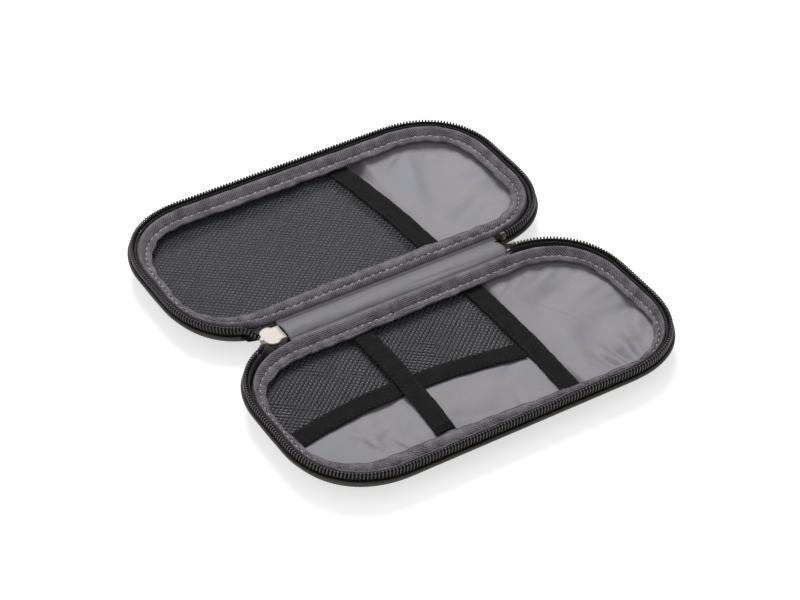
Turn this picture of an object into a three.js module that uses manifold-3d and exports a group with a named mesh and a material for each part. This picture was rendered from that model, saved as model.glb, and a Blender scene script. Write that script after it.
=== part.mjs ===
// A glucose meter case that lies open flat: two moulded half shells with a zipper round three sides,
// lined trays with net pockets, and a soft spine that folds on two lines so that the lid shuts on the base.
// Millimetres. X runs along the hinge, Y from the base half to the lid half, Z up from the table.
import * as THREE from "three";
import { mergeVertices } from "three/addons/utils/BufferGeometryUtils.js";
import Module from "manifold-3d";

const wasm = await Module();
wasm.setup();

// Case
const caseLength = 192;
const halfWidth = 103;
const cornerRadius = 42;
const cornerPower = 2.3;
const outlineGap = 4.5;
const clearance = 0.3;
const overrun = 5;
const cornerSteps = 10;

// Half shells
const shellHeight = 8.6;
const shellThickness = 2.6;
const shellInset = 0.3;
const wallRun = 16;
const innerWallRun = 14;
const wallSteps = 5;

// Edge piping
const pipingDiameter = 1.5;
const pipingSides = 6;

// Zipper. The case's size was worked out from a pitch of 1.54 for the teeth; here one ridge stands for two.
const coilHeight = 4.3;
const coilThickness = 2;
const coilInset = 1;
const coilChamfer = 0.5;
const coilRound = 0.9;
const coilRidgePitch = 3.08;
const coilRidgeDepth = 0.7;
const ridgeSteps = 4;
const tapeThickness = 0.6;
const tapeHeight = 4.4;
const tapeDrop = 2.2;
const zipperStart = 17.5;
const zipperEnd = 1;
const stopLength = 3;
const stopMargin = 0.2;

// Lined trays
const liningRise = 1;
const liningThickness = 0.6;
const liningRun = 12.6;

// Border ribbon
const borderWidth = 9.3;
const hingeBorderWidth = 10.2;
const endBorderWidth = 6.8;
const borderCrestRise = 3.9;
const borderStitchRise = 2.2;
const borderEdgeRise = 1.8;

// Pocket layers, from the panel up
const panelDrop = 3.9;
const clothThickness = 0.6;
const bandThickness = 1;
const strapThickness = 0.7;
const netCellLength = 12;
const netCellWidth = 9;
const netStrand = 1.3;

// Bands and strap, by their widths and the places of their middle lines
const pocketBandWidth = 10;
const pocketBandEndX = 30;
const pocketBandMiddleX = 31.8;
const netBandWidth = 10.3;
const netBandLeftY = 60.9;
const netBandMiddleY = 55.2;
const netBandRightY = 86.3;
const strapWidth = 10;
const strapHingeX = -29.2;
const strapMiddleX = -28;
const strapFarX = -32;
const lidBandWidth = 10.6;
const lidBandHingeX = 31;
const lidBandMiddleX = 28.8;
const lidBandFarX = 21.7;
const bandSteps = 10;

// Spine
const spineSetback = 38.5;
const spineCoverThickness = 0.7;
const satinThickness = 0.7;
const satinRise = 1.4;
const archSteps = 8;

// Slider, the chain that it holds, and the pull tab
const sliderLength = 10.5;
const sliderTailHalf = 4.4;
const sliderShoulderHalf = 5.9;
const sliderNoseHalf = 2.2;
const sliderShoulderLength = 5.6;
const sliderEarLength = 1.3;
const sliderEarHalf = 1.3;
const sliderPlate = 0.9;
const sliderChannel = 2.6;
const sliderPostLength = 3.2;
const sliderPostHalf = 1.1;
const sliderFlange = 0.8;
const sliderFlangeLength = 4.2;
const sliderCurveSteps = 5;
const sliderTravel = 3;
const chainHalf = 2.6;
const chainThickness = 1.8;
const chainTail = 1;
const bottomStopHalf = 2.2;
const bridgeHalf = 2.2;
const bridgeBar = 0.7;
const bridgeEye = 1.5;
const bridgeWidth = 1.8;
const tabLength = 22;
const tabWidth = 6;
const tabThickness = 1;
const tabWindow = 2.9;
const tabWindowHalf = 1.3;
const tabEndHalf = 2.2;
const pinRadius = 0.5;
const pinSides = 10;

// Places that several pieces share
const hingeLine = outlineGap / 2;
const straightHalf = caseLength / 2 - cornerRadius;
const coilBottom = shellHeight + clearance + pipingDiameter + clearance;
const halfDepth = coilBottom + coilHeight;
const tapeInset = coilInset + coilThickness + clearance;
const borderInset = tapeInset + tapeThickness + clearance;
const liningTop = shellHeight + liningRise;
const liningFloor = shellThickness + clearance;
const trayFloor = liningFloor + liningThickness;
const panelHeight = liningTop - panelDrop;
const netHeight = panelHeight + clothThickness + clearance;
const bandHeight = netHeight + clothThickness + clearance;
const strapHeight = bandHeight + bandThickness + clearance;
const borderUnderside = liningTop + clearance;
const borderCrest = borderUnderside + borderCrestRise;
const borderStitchHeight = borderUnderside + borderStitchRise;
const borderEdgeHeight = borderUnderside + borderEdgeRise;
const foldHeight = shellHeight + clearance + spineCoverThickness;
const foldHalf = halfDepth - foldHeight + clearance;
const spineLength = caseLength - 2 * spineSetback;
const zipperLeft = spineLength / 2 + zipperStart;
const zipperRight = spineLength / 2 + zipperEnd;
const satinBottom = foldHeight + clearance;
const satinTop = satinBottom + satinRise + satinThickness;
const hingeBorderInset = foldHalf + satinTop - foldHeight + clearance - hingeLine;
const sliderRight = -spineLength / 2 - clearance;
const sliderLeft = sliderRight - sliderLength;
const sliderHalfHeight = sliderChannel / 2 + sliderPlate;
const chainRight = sliderRight + chainTail;
const coverLeft = chainRight + clearance + stopLength + clearance;

// A point of a half's outline: which corner, and the share of its quarter turn. Corner 0 is at the left
// end of the hinge, and the corners follow round by the far side. The lid's outline mirrors the base's.
function outlinePoint(side, inset, hingeInset, endInset, corner, share) {
  const radius = cornerRadius - inset;
  const half = caseLength / 2 - endInset;
  const middleX = corner < 2 ? radius - half : half - radius;
  const atHinge = corner === 0 || corner === 3;
  const hingeY = hingeLine + hingeInset + radius;
  const farY = hingeLine + halfWidth - inset - radius;
  const angle = ((1 + corner + share) * Math.PI) / 2;
  const bend = (value) => Math.sign(value) * Math.abs(value) ** (2 / cornerPower) * radius;
  const y = (atHinge ? hingeY : farY) - bend(Math.sin(angle));
  return [middleX + bend(Math.cos(angle)), side * y];
}

// The whole outline of a half as points, for the base (side -1) or the lid (side 1).
function outline(side, inset, hingeInset = inset, endInset = inset) {
  const points = [];
  for (let corner = 0; corner < 4; corner++) {
    for (let i = 0; i <= cornerSteps; i++) {
      points.push(outlinePoint(side, inset, hingeInset, endInset, corner, i / cornerSteps));
    }
  }
  return points;
}

// A point of the outline at a turn: turns 0, 2, 4 and 6 begin the corners, and the straight sides lie between.
function turnPoint(side, inset, turn) {
  const leg = Math.floor(turn);
  const share = turn - leg;
  if (leg % 2 === 0) return outlinePoint(side, inset, inset, inset, leg / 2, share);
  const from = outlinePoint(side, inset, inset, inset, ((leg + 7) / 2) % 4, 1);
  const to = outlinePoint(side, inset, inset, inset, ((leg + 1) / 2) % 4, 0);
  return from.map((value, axis) => value + (to[axis] - value) * share);
}

// How far into the hinge corner's turn the outline is at a distance from the case's middle.
function turnAt(inset, reach) {
  if (reach < straightHalf) return (reach - straightHalf) / (2 * straightHalf);
  const along = (reach - straightHalf) / (cornerRadius - inset);
  return Math.asin(along ** (cornerPower / 2)) / (Math.PI / 2);
}

// The turns of a line round the three zipped sides, from a distance left of the middle to one right.
function threeSides(inset, left, right) {
  const start = turnAt(inset, left);
  const end = 7 - turnAt(inset, right);
  const turns = [start, end];
  for (let corner = 0; corner < 4; corner++) {
    for (let i = 0; i <= cornerSteps; i++) turns.push(2 * corner + i / cornerSteps);
  }
  const least = 1 / (5 * cornerSteps);
  const kept = turns.filter((turn) => turn > start + least && turn < end - least);
  return [start, ...kept.sort((a, b) => a - b), end];
}

// The same line cut into equal lengths, one for each ridge of the coil, with a turn between each two.
function ridgeTurns(inset, left, right) {
  const coarse = threeSides(inset, left, right);
  const turns = coarse.flatMap((turn, i) => {
    const next = coarse[i + 1] ?? turn;
    return Array.from({ length: ridgeSteps }, (_, j) => turn + ((next - turn) * j) / ridgeSteps);
  });
  const points = turns.map((turn) => turnPoint(1, inset, turn));
  const lengths = [0];
  for (let i = 1; i < points.length; i++) {
    const [dx, dy] = points[i].map((value, axis) => value - points[i - 1][axis]);
    lengths.push(lengths[i - 1] + Math.hypot(dx, dy));
  }
  const whole = lengths[lengths.length - 1];
  const count = 2 * Math.round(whole / coilRidgePitch);
  let at = 0;
  return Array.from({ length: count + 1 }, (_, i) => {
    const length = (whole * i) / count;
    while (at < lengths.length - 2 && lengths[at + 1] < length) at++;
    const share = (length - lengths[at]) / (lengths[at + 1] - lengths[at] || 1);
    return turns[at] + (turns[at + 1] - turns[at]) * Math.min(1, share);
  });
}

// The same geometry with its faces turned outward: the sum of its corner volumes is positive then.
function outward(geometry) {
  const place = geometry.getAttribute("position");
  const index = Array.from(geometry.index.array);
  const [a, b, c] = [0, 1, 2].map(() => new THREE.Vector3());
  let volume = 0;
  for (let i = 0; i < index.length; i += 3) {
    a.fromBufferAttribute(place, index[i]);
    b.fromBufferAttribute(place, index[i + 1]);
    c.fromBufferAttribute(place, index[i + 2]);
    volume += a.dot(b.cross(c));
  }
  return geometry.setIndex(volume < 0 ? index.reverse() : index);
}

// The closed body through rows of points that each go once round. The first and last rows are capped
// from their middles, or joined to each other.
function skin(rows, joined) {
  const columns = rows[0].length;
  const positions = rows.flat(2);
  const index = [];
  const bands = joined ? rows.length : rows.length - 1;
  for (let i = 0; i < bands; i++) {
    const below = i * columns;
    const above = ((i + 1) % rows.length) * columns;
    for (let j = 0; j < columns; j++) {
      const next = (j + 1) % columns;
      index.push(below + j, below + next, above + next);
      index.push(below + j, above + next, above + j);
    }
  }
  const cap = (row, start, last) => {
    const middle = positions.length / 3;
    for (const axis of [0, 1, 2]) {
      positions.push(row.reduce((sum, point) => sum + point[axis], 0) / columns);
    }
    for (let j = 0; j < columns; j++) {
      const next = (j + 1) % columns;
      index.push(middle, start + (last ? j : next), start + (last ? next : j));
    }
  };
  if (!joined) {
    cap(rows[0], 0, false);
    cap(rows[rows.length - 1], (rows.length - 1) * columns, true);
  }
  const geometry = new THREE.BufferGeometry();
  geometry.setAttribute("position", new THREE.Float32BufferAttribute(positions, 3));
  return outward(geometry.setIndex(index));
}

// A solid for joining and cutting, and the geometry of what comes out.
function solid(geometry) {
  const bare = geometry.clone();
  bare.deleteAttribute("normal");
  bare.deleteAttribute("uv");
  const merged = mergeVertices(bare);
  return new wasm.Manifold(
    new wasm.Mesh({
      numProp: 3,
      vertProperties: merged.getAttribute("position").array,
      triVerts: new Uint32Array(merged.index.array),
    }),
  );
}

function geometryOf(body) {
  const { vertProperties, triVerts } = body.getMesh();
  const geometry = new THREE.BufferGeometry();
  geometry.setAttribute("position", new THREE.BufferAttribute(vertProperties, 3));
  return geometry.setIndex(new THREE.BufferAttribute(triVerts, 1));
}

// A flat body with the given shape or outline in plan, from one height to another.
function plate(plan, bottom, top) {
  const shape = Array.isArray(plan)
    ? new THREE.Shape(plan.map(([x, y]) => new THREE.Vector2(x, y)))
    : plan;
  const settings = { depth: top - bottom, bevelEnabled: false, curveSegments: sliderCurveSteps };
  return solid(new THREE.ExtrudeGeometry(shape, settings).translate(0, 0, bottom));
}

function box(left, right, front, back, bottom, top) {
  return plate([[left, front], [right, front], [right, back], [left, back]], bottom, top);
}

// The room that both halves leave for the slider: at rest, and folded up with the spine.
function sliderRoom(side) {
  const left = sliderLeft - sliderEarLength - sliderTravel - clearance;
  const reach = sliderShoulderHalf + clearance;
  const rise = sliderHalfHeight + clearance;
  const open = box(left, coverLeft, -reach, reach, foldHeight - rise, foldHeight + rise);
  const near = side * foldHalf - rise;
  const folded = foldHeight + foldHalf - reach;
  return open.add(box(left, coverLeft, near, near + 2 * rise, folded, folded + 2 * reach));
}

// A quarter of an ellipse as steps of run and height, from the rim down to the floor.
function quarterWall(run, top, floor) {
  return Array.from({ length: wallSteps + 1 }, (_, i) => {
    const angle = (i / wallSteps) * (Math.PI / 2);
    return [run * (1 - Math.cos(angle)), top - (top - floor) * Math.sin(angle)];
  });
}

// A tray whose wall goes down outside from the rim to the floor and comes up again inside.
function tray(side, rimInset, thickness, outer, inner) {
  const ring = (inset) => ([run, height]) =>
    outline(side, inset + run).map(([x, y]) => [x, y, height]);
  const outside = outer.map(ring(rimInset)).reverse();
  const inside = inner.map(ring(rimInset + thickness));
  return geometryOf(solid(skin([...outside, ...inside], false)).subtract(sliderRoom(side)));
}

function shellGeometry(side) {
  const outer = quarterWall(wallRun, shellHeight, 0);
  const inner = quarterWall(innerWallRun, shellHeight, shellThickness);
  return tray(side, shellInset, shellThickness, outer, inner);
}

function liningGeometry(side) {
  const outer = quarterWall(liningRun + liningThickness, liningTop, liningFloor);
  const inner = quarterWall(liningRun, liningTop, trayFloor);
  return tray(side, borderInset, liningThickness, outer, inner);
}

// The inset at which the lining's inner wall reaches a height, where a pocket's edge is sewn to it.
function wallInsetAt(height) {
  const share = (liningTop - height) / (liningTop - trayFloor);
  const run = liningRun * (1 - Math.sqrt(1 - share ** 2));
  return borderInset + liningThickness + run + clearance;
}

// The padded ribbon over the seam: two soft folds with the stitched valley between them.
function borderGeometry(side) {
  const outerEdge = (borderUnderside + borderCrest) / 2;
  const shoulder = (borderStitchHeight + borderCrest) / 2;
  const profile = [
    [0, borderUnderside],
    [0, outerEdge],
    [borderWidth / 8, shoulder],
    [borderWidth / 4, borderCrest],
    [borderWidth / 2, borderStitchHeight],
    [(borderWidth * 3) / 4, borderCrest],
    [borderWidth, borderEdgeHeight],
    [borderWidth - clearance, borderUnderside],
  ];
  const rings = profile.map(([across, height]) => {
    const hingeInset = hingeBorderInset + (across * hingeBorderWidth) / borderWidth;
    const endInset = borderInset + (across * endBorderWidth) / borderWidth;
    const ring = outline(side, borderInset + across, hingeInset, endInset);
    return ring.map(([x, y]) => [x, y, height]);
  });
  return skin(rings, true);
}

// A strip round the zipped sides, whose profile of inset and height points may change from turn to turn.
function strip(side, turns, profileAt) {
  const row = (turn, i) =>
    profileAt(i).map(([inset, height]) => [...turnPoint(side, inset, turn), height]);
  return skin(turns.map(row), false);
}

function pipingGeometry(side) {
  const radius = pipingDiameter / 2;
  const middle = shellHeight + clearance + radius;
  const profile = Array.from({ length: pipingSides }, (_, i) => {
    const angle = (i / pipingSides) * 2 * Math.PI;
    return [radius * (1 - Math.cos(angle)), middle + radius * Math.sin(angle)];
  });
  return strip(side, threeSides(radius, zipperLeft, zipperRight), () => profile);
}

function tapeGeometry(side) {
  const top = halfDepth - tapeDrop;
  const bottom = top - tapeHeight;
  const inner = tapeInset + tapeThickness;
  const profile = [[tapeInset, bottom], [inner, bottom], [inner, top], [tapeInset, top]];
  return strip(side, threeSides(tapeInset, zipperLeft, zipperRight), () => profile);
}

// The coil's section: rounder outside than inside, so that the two rows roll past each other as they shut.
// Between two ridges it is drawn in by a depth, outside and at the tips.
function coilProfile(margin, depth) {
  const outer = coilInset - margin + depth / 2;
  const inner = coilInset + coilThickness;
  const bottom = coilBottom - margin;
  const top = halfDepth - depth;
  return [
    [outer, bottom],
    [inner, bottom],
    [inner, top - coilChamfer],
    [inner - coilChamfer, top],
    [outer + coilRound, top],
    [outer, top - coilRound],
  ];
}

const coilMiddle = coilInset + coilThickness / 2;

function coilGeometry(side) {
  const turns = ridgeTurns(coilMiddle, zipperLeft, zipperRight + stopLength + clearance);
  return strip(side, turns, (i) => coilProfile(0, i % 2 === 0 ? coilRidgeDepth : 0));
}

// The stop at the right end of the coil is a short stretch of the same section, a little fatter.
function topStopGeometry(side) {
  const from = 7 - turnAt(coilMiddle, zipperRight + stopLength);
  const to = 7 - turnAt(coilMiddle, zipperRight);
  return strip(side, [from, (from + to) / 2, to], () => coilProfile(stopMargin, 0));
}

// Middle lines of the bands: a curve through three places, over the width or the length of a half.
function throughThree(first, middle, last) {
  return (share) => {
    const before = (1 - share) * (1 - 2 * share) * first;
    return before + 4 * share * (1 - share) * middle + share * (2 * share - 1) * last;
  };
}

// The strip of plan between two offsets from a line that crosses the half from hinge to far side.
function across(side, line, from, to) {
  const shares = Array.from({ length: bandSteps + 1 }, (_, i) => i / bandSteps);
  const y = (share) => side * (hingeLine + share * halfWidth);
  const forth = shares.map((share) => [line(share) + to, y(share)]);
  const back = shares.map((share) => [line(share) + from, y(share)]).reverse();
  return [...forth, ...back];
}

// The same along the half, for a line given by its distance from the hinge line.
function along(side, line, from, to) {
  const shares = Array.from({ length: bandSteps + 1 }, (_, i) => i / bandSteps);
  const x = (share) => (share - 1 / 2) * caseLength;
  const forth = shares.map((share) => [x(share), side * (hingeLine + line(share) + to)]);
  const back = shares.map((share) => [x(share), side * (hingeLine + line(share) + from)]).reverse();
  return [...forth, ...back];
}

const pocketLine = throughThree(pocketBandEndX, pocketBandMiddleX, pocketBandEndX);
const strapLine = throughThree(strapHingeX, strapMiddleX, strapFarX);
const lidBandLine = throughThree(lidBandHingeX, lidBandMiddleX, lidBandFarX);
const netBandLine = throughThree(netBandLeftY, netBandMiddleY, netBandRightY);

// A layer of cloth that fills the tray at a height, cut to one or two strips of plan.
function layer(side, height, thickness, ...plans) {
  const top = height + thickness;
  let body = plate(outline(side, wallInsetAt(height)), height, top);
  for (const plan of plans) {
    body = body.intersect(plate(plan, height - overrun, top + overrun));
  }
  return body;
}

// Net: rows of diamond holes, each row half a cell on from the one before. Only whole holes are cut.
function netBody(side, keeps, ...plans) {
  const top = netHeight + clothThickness;
  const halfX = netCellLength / 2 - netStrand;
  const halfY = netCellWidth / 2 - netStrand;
  const inset = wallInsetAt(netHeight) + netStrand;
  const edge = new THREE.Shape(outline(side, inset).map(([x, y]) => new THREE.Vector2(x, y)));
  const edgePoints = edge.getPoints();
  const inside = ([x, y]) => {
    let odd = false;
    edgePoints.forEach((p, i) => {
      const q = edgePoints[(i + 1) % edgePoints.length];
      if (p.y > y !== q.y > y && x < p.x + ((q.x - p.x) * (y - p.y)) / (q.y - p.y)) odd = !odd;
    });
    return odd && keeps(x, y);
  };
  let body = layer(side, netHeight, clothThickness, ...plans);
  const rows = Math.ceil((2 * halfWidth) / netCellWidth);
  const columns = Math.ceil(caseLength / 2 / netCellLength);
  for (let row = 0; row < rows; row++) {
    const y = side * (hingeLine + (row * netCellWidth) / 2);
    const shift = ((row % 2) * netCellLength) / 2;
    for (let column = -columns; column <= columns; column++) {
      const x = column * netCellLength + shift;
      const hole = [[x - halfX, y], [x, y - halfY], [x + halfX, y], [x, y + halfY]];
      if (hole.every(inside)) {
        body = body.subtract(plate(hole, netHeight - overrun, top + overrun));
      }
    }
  }
  return body;
}

const shareAcross = (y) => (Math.abs(y) - hingeLine) / halfWidth;
const shareAlong = (x) => x / caseLength + 1 / 2;

function baseNet() {
  const leftOfPocketBand = across(-1, pocketLine, -caseLength, 0);
  const hingeSideOfBand = along(-1, netBandLine, -halfWidth, 0);
  const keeps = (x, y) => {
    const beforePocketBand = x < pocketLine(shareAcross(y)) - pocketBandWidth / 2 - netStrand;
    const reach = netBandLine(shareAlong(x)) - netBandWidth / 2 - netStrand;
    return beforePocketBand && -y - hingeLine < reach;
  };
  return netBody(-1, keeps, leftOfPocketBand, hingeSideOfBand);
}

function lidNet() {
  const leftOfBand = across(1, lidBandLine, -caseLength, 0);
  const keeps = (x, y) => x < lidBandLine(shareAcross(y)) - lidBandWidth / 2 - netStrand;
  return netBody(1, keeps, leftOfBand);
}

function netBand() {
  const width = along(-1, netBandLine, -netBandWidth / 2, netBandWidth / 2);
  const end = -pocketBandWidth / 2 - clearance;
  return layer(-1, bandHeight, bandThickness, width, across(-1, pocketLine, -caseLength, end));
}

function crossBand(side, line, width, height, thickness) {
  return layer(side, height, thickness, across(side, line, -width / 2, width / 2));
}

// Spine: the outer cover lies flat on both walls, and the satin arches over it.
function coverBody() {
  const half = foldHalf - clearance;
  return box(coverLeft, spineLength / 2, -half, half, shellHeight + clearance, foldHeight);
}

function satinBody() {
  const half = foldHalf - clearance;
  const shares = Array.from({ length: archSteps + 1 }, (_, i) => (2 * i) / archSteps - 1);
  const arch = (bottom) => (share) =>
    new THREE.Vector2(share * half, bottom + satinRise * (1 - share ** 2));
  const under = shares.map(arch(satinBottom));
  const over = shares.map(arch(satinBottom + satinThickness)).reverse();
  const settings = { depth: spineLength, bevelEnabled: false };
  const geometry = new THREE.ExtrudeGeometry(new THREE.Shape([...under, ...over]), settings);
  geometry.rotateX(Math.PI / 2).rotateZ(Math.PI / 2);
  return solid(geometry.translate(-spineLength / 2, 0, 0));
}

// Slider: two shield-shaped plates joined by the post at the nose and by a flange on each side of the
// tail, so that the channel between them is a Y. The bridge for the pull tab is under the outer plate.
function sliderPlan() {
  const shoulderX = sliderRight - sliderShoulderLength;
  const tailX = sliderRight - sliderLength / 5;
  const waistX = (tailX + shoulderX) / 2;
  const noseX = (shoulderX + sliderLeft) / 2;
  const shape = new THREE.Shape();
  shape.moveTo(sliderRight, -sliderTailHalf);
  shape.lineTo(sliderRight, sliderTailHalf);
  shape.lineTo(tailX, sliderTailHalf);
  shape.bezierCurveTo(waistX, sliderTailHalf, waistX, sliderShoulderHalf, shoulderX, sliderShoulderHalf);
  shape.bezierCurveTo(noseX, sliderShoulderHalf, sliderLeft, sliderTailHalf, sliderLeft, sliderNoseHalf);
  shape.lineTo(sliderLeft, -sliderNoseHalf);
  shape.bezierCurveTo(sliderLeft, -sliderTailHalf, noseX, -sliderShoulderHalf, shoulderX, -sliderShoulderHalf);
  shape.bezierCurveTo(waistX, -sliderShoulderHalf, waistX, -sliderTailHalf, tailX, -sliderTailHalf);
  shape.lineTo(sliderRight, -sliderTailHalf);
  return shape;
}

const bridgeX = (sliderLeft + sliderRight) / 2;
const plateBottom = foldHeight - sliderHalfHeight;
const pinHeight = plateBottom - bridgeEye / 2;

function sliderBody() {
  const channelBottom = foldHeight - sliderChannel / 2;
  const channelTop = foldHeight + sliderChannel / 2;
  const plateTop = foldHeight + sliderHalfHeight;
  const lower = plate(sliderPlan(), plateBottom, channelBottom);
  const upper = plate(sliderPlan(), channelTop, plateTop);
  const nose = sliderLeft + sliderPostLength;
  const post = plate(
    [[sliderLeft, -sliderNoseHalf], [nose, -sliderPostHalf], [nose, sliderPostHalf], [sliderLeft, sliderNoseHalf]],
    plateBottom,
    plateTop,
  );
  const earLeft = sliderLeft - sliderEarLength;
  const ear = box(earLeft, nose, -sliderEarHalf, sliderEarHalf, channelTop, plateTop);
  let body = lower.add(upper).add(post).add(ear);
  for (const side of [-1, 1]) {
    const outer = side * sliderTailHalf;
    const inner = side * (sliderTailHalf - sliderFlange);
    const [front, back] = [Math.min(outer, inner), Math.max(outer, inner)];
    const left = sliderRight - sliderFlangeLength;
    body = body.add(box(left, sliderRight, front, back, plateBottom, plateTop));
  }
  const barBottom = plateBottom - bridgeEye - bridgeBar;
  const half = bridgeWidth / 2;
  const loop = box(bridgeX - bridgeHalf, bridgeX + bridgeHalf, -half, half, barBottom, channelBottom);
  const eyeHalf = bridgeHalf - bridgeBar;
  const eye = box(bridgeX - eyeHalf, bridgeX + eyeHalf, -overrun, overrun, barBottom + bridgeBar, plateBottom);
  return body.add(loop.subtract(eye));
}

// The tab hangs from a pin through the bridge and slopes down under the spine to the table.
function tabBody() {
  const half = tabThickness / 2;
  const wide = tabWidth / 2;
  const end = tabLength - tabEndHalf;
  const shape = new THREE.Shape();
  shape.moveTo(-half, -wide);
  shape.lineTo(tabWindow + wide, -wide);
  shape.lineTo(end, -tabEndHalf);
  shape.absarc(end, 0, tabEndHalf, -Math.PI / 2, Math.PI / 2, false);
  shape.lineTo(tabWindow + wide, wide);
  shape.lineTo(-half, wide);
  shape.lineTo(-half, tabWindowHalf);
  shape.lineTo(tabWindow, tabWindowHalf);
  shape.lineTo(tabWindow, -tabWindowHalf);
  shape.lineTo(-half, -tabWindowHalf);
  const pin = new THREE.CylinderGeometry(pinRadius, pinRadius, tabWidth - clearance, pinSides);
  const tab = geometryOf(plate(shape, -half, half).add(solid(pin)));
  const slope = Math.asin((pinHeight - half - clearance) / tabLength);
  return tab.rotateY(slope).translate(bridgeX, 0, pinHeight);
}

function chainBody() {
  const half = chainThickness / 2;
  const left = sliderLeft + sliderPostLength + sliderTravel / 2;
  return box(left, chainRight, -chainHalf, chainHalf, foldHeight - half, foldHeight + half);
}

function bottomStopBody() {
  const half = chainThickness / 2 + stopMargin;
  const left = chainRight + clearance;
  return box(left, left + stopLength, -bottomStopHalf, bottomStopHalf, foldHeight - half, foldHeight + half);
}

// Colours and finishes
const cloth = { roughness: 0.9, metalness: 0 };
const shellFabric = { color: 0x46403e, ...cloth };
const pipingCord = { color: 0x6a5f58, ...cloth };
const blackTape = { color: 0x1c1c1e, ...cloth };
const nylon = { color: 0x202022, roughness: 0.4, metalness: 0 };
const satin = { color: 0x96939a, roughness: 0.55, metalness: 0 };
const ribbon = { color: 0x6e6870, ...cloth };
const net = { color: 0x3a393d, ...cloth };
const metal = { color: 0xdcd7d2, roughness: 0.3, metalness: 1 };

function piece(name, made, finish) {
  const geometry = made.isBufferGeometry ? made : geometryOf(made);
  const mesh = new THREE.Mesh(geometry, new THREE.MeshStandardMaterial(finish));
  mesh.name = name;
  return mesh;
}

// What both halves have, for the base (side -1) or the lid (side 1)
function halfCase(name, side) {
  const half = new THREE.Group();
  half.add(
    piece(`${name}_shell`, shellGeometry(side), shellFabric),
    piece(`${name}_edge_piping`, pipingGeometry(side), pipingCord),
    piece(`${name}_zipper_tape`, tapeGeometry(side), blackTape),
    piece(`${name}_zipper_coil`, coilGeometry(side), nylon),
    piece(`${name}_top_stop`, topStopGeometry(side), nylon),
    piece(`${name}_lining`, liningGeometry(side), satin),
    piece(`${name}_border`, borderGeometry(side), ribbon),
  );
  return half;
}

const base = halfCase("base", -1);
base.add(
  piece("base_pocket_panel", layer(-1, panelHeight, clothThickness, across(-1, pocketLine, -caseLength, 0)), satin),
  piece("base_mesh_net", baseNet(), net),
  piece("base_pocket_band", crossBand(-1, pocketLine, pocketBandWidth, bandHeight, bandThickness), blackTape),
  piece("base_mesh_band", netBand(), blackTape),
  piece("base_elastic_strap", crossBand(-1, strapLine, strapWidth, strapHeight, strapThickness), blackTape),
);

const lid = halfCase("lid", 1);
lid.add(
  piece("lid_mesh_net", lidNet(), net),
  piece("lid_mesh_band", crossBand(1, lidBandLine, lidBandWidth, bandHeight, bandThickness), blackTape),
);

const spine = new THREE.Group();
spine.add(
  piece("spine_cover", coverBody(), shellFabric),
  piece("spine_lining", satinBody(), satin),
  piece("zipper_chain_end", chainBody(), nylon),
  piece("zipper_bottom_stop", bottomStopBody(), metal),
);

const pull = new THREE.Group();
pull.add(piece("zipper_slider", sliderBody(), metal), piece("pull_tab", tabBody(), metal));

const group = new THREE.Group();
group.add(base, spine, lid, pull);

export default group;
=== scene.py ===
import bpy
import numpy as np
from mathutils import Matrix, Vector


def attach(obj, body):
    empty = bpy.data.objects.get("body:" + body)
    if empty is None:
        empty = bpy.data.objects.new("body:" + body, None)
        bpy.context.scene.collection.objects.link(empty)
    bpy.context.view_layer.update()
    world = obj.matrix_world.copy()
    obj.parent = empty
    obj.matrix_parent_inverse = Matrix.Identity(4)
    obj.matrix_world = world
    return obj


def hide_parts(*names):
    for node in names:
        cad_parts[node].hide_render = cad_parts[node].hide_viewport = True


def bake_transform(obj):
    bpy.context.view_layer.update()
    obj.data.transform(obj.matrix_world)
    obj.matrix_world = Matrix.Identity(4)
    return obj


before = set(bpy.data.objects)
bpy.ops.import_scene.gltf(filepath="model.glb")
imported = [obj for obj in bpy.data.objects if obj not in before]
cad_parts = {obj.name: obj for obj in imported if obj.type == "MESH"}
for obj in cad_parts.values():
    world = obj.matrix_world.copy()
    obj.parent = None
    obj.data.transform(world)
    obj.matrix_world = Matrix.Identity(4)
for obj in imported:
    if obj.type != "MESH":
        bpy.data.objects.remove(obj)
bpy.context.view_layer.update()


# ---- Camera, table and light ----
# The case lies open on a white table, seen from its left front corner with a long lens.
# The light is soft and mostly comes from above, so the case only has a faint shadow round it.

def view_direction(turn_deg, height_deg):
    """Right, up and back vectors of a camera turned round Z by turn_deg, raised by height_deg."""
    turn, height = np.radians([turn_deg, height_deg])
    back = np.array([np.sin(turn) * np.cos(height), -np.cos(turn) * np.cos(height), np.sin(height)])
    right = np.array([np.cos(turn), np.sin(turn), 0.0])
    return right, np.cross(back, right), back


photo_width = 800
focal_pixels = 2415.57
look_at = np.array([0.0, 0.0, 0.015])
distance = 1.0800
right, up, back = view_direction(-31.49, 39.4)
lens = bpy.data.cameras.new("photo_lens")
lens.sensor_width = 36
lens.lens = focal_pixels / photo_width * lens.sensor_width
lens.shift_x = 4.0 / photo_width
lens.shift_y = -19.03 / photo_width
lens.clip_start = 0.05
camera = bpy.data.objects.new("photo_camera", lens)
bpy.context.collection.objects.link(camera)
stand = np.eye(4)
stand[:3] = np.column_stack([right, up, back, look_at + back * distance])
camera.matrix_world = Matrix(stand.tolist())
bpy.context.scene.camera = camera


def new_material(name, plain):
    """A material with plain values on its shader, a function that adds a node to it, and one
    that drives an input of the shader from a socket."""
    made = bpy.data.materials.new(name)
    made.use_nodes = True
    nodes, links = made.node_tree.nodes, made.node_tree.links
    shader = nodes["Principled BSDF"]
    for key, value in plain.items():
        shader.inputs[key].default_value = value

    def add(kind, inputs=None, **settings):
        node = nodes.new(kind)
        for key, value in settings.items():
            setattr(node, key, value)
        for key, value in (inputs or {}).items():
            if isinstance(value, bpy.types.NodeSocket):
                links.new(value, node.inputs[key])
            else:
                node.inputs[key].default_value = value
        return node

    def drive(key, socket):
        links.new(socket, shader.inputs[key])

    return made, add, drive


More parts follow.
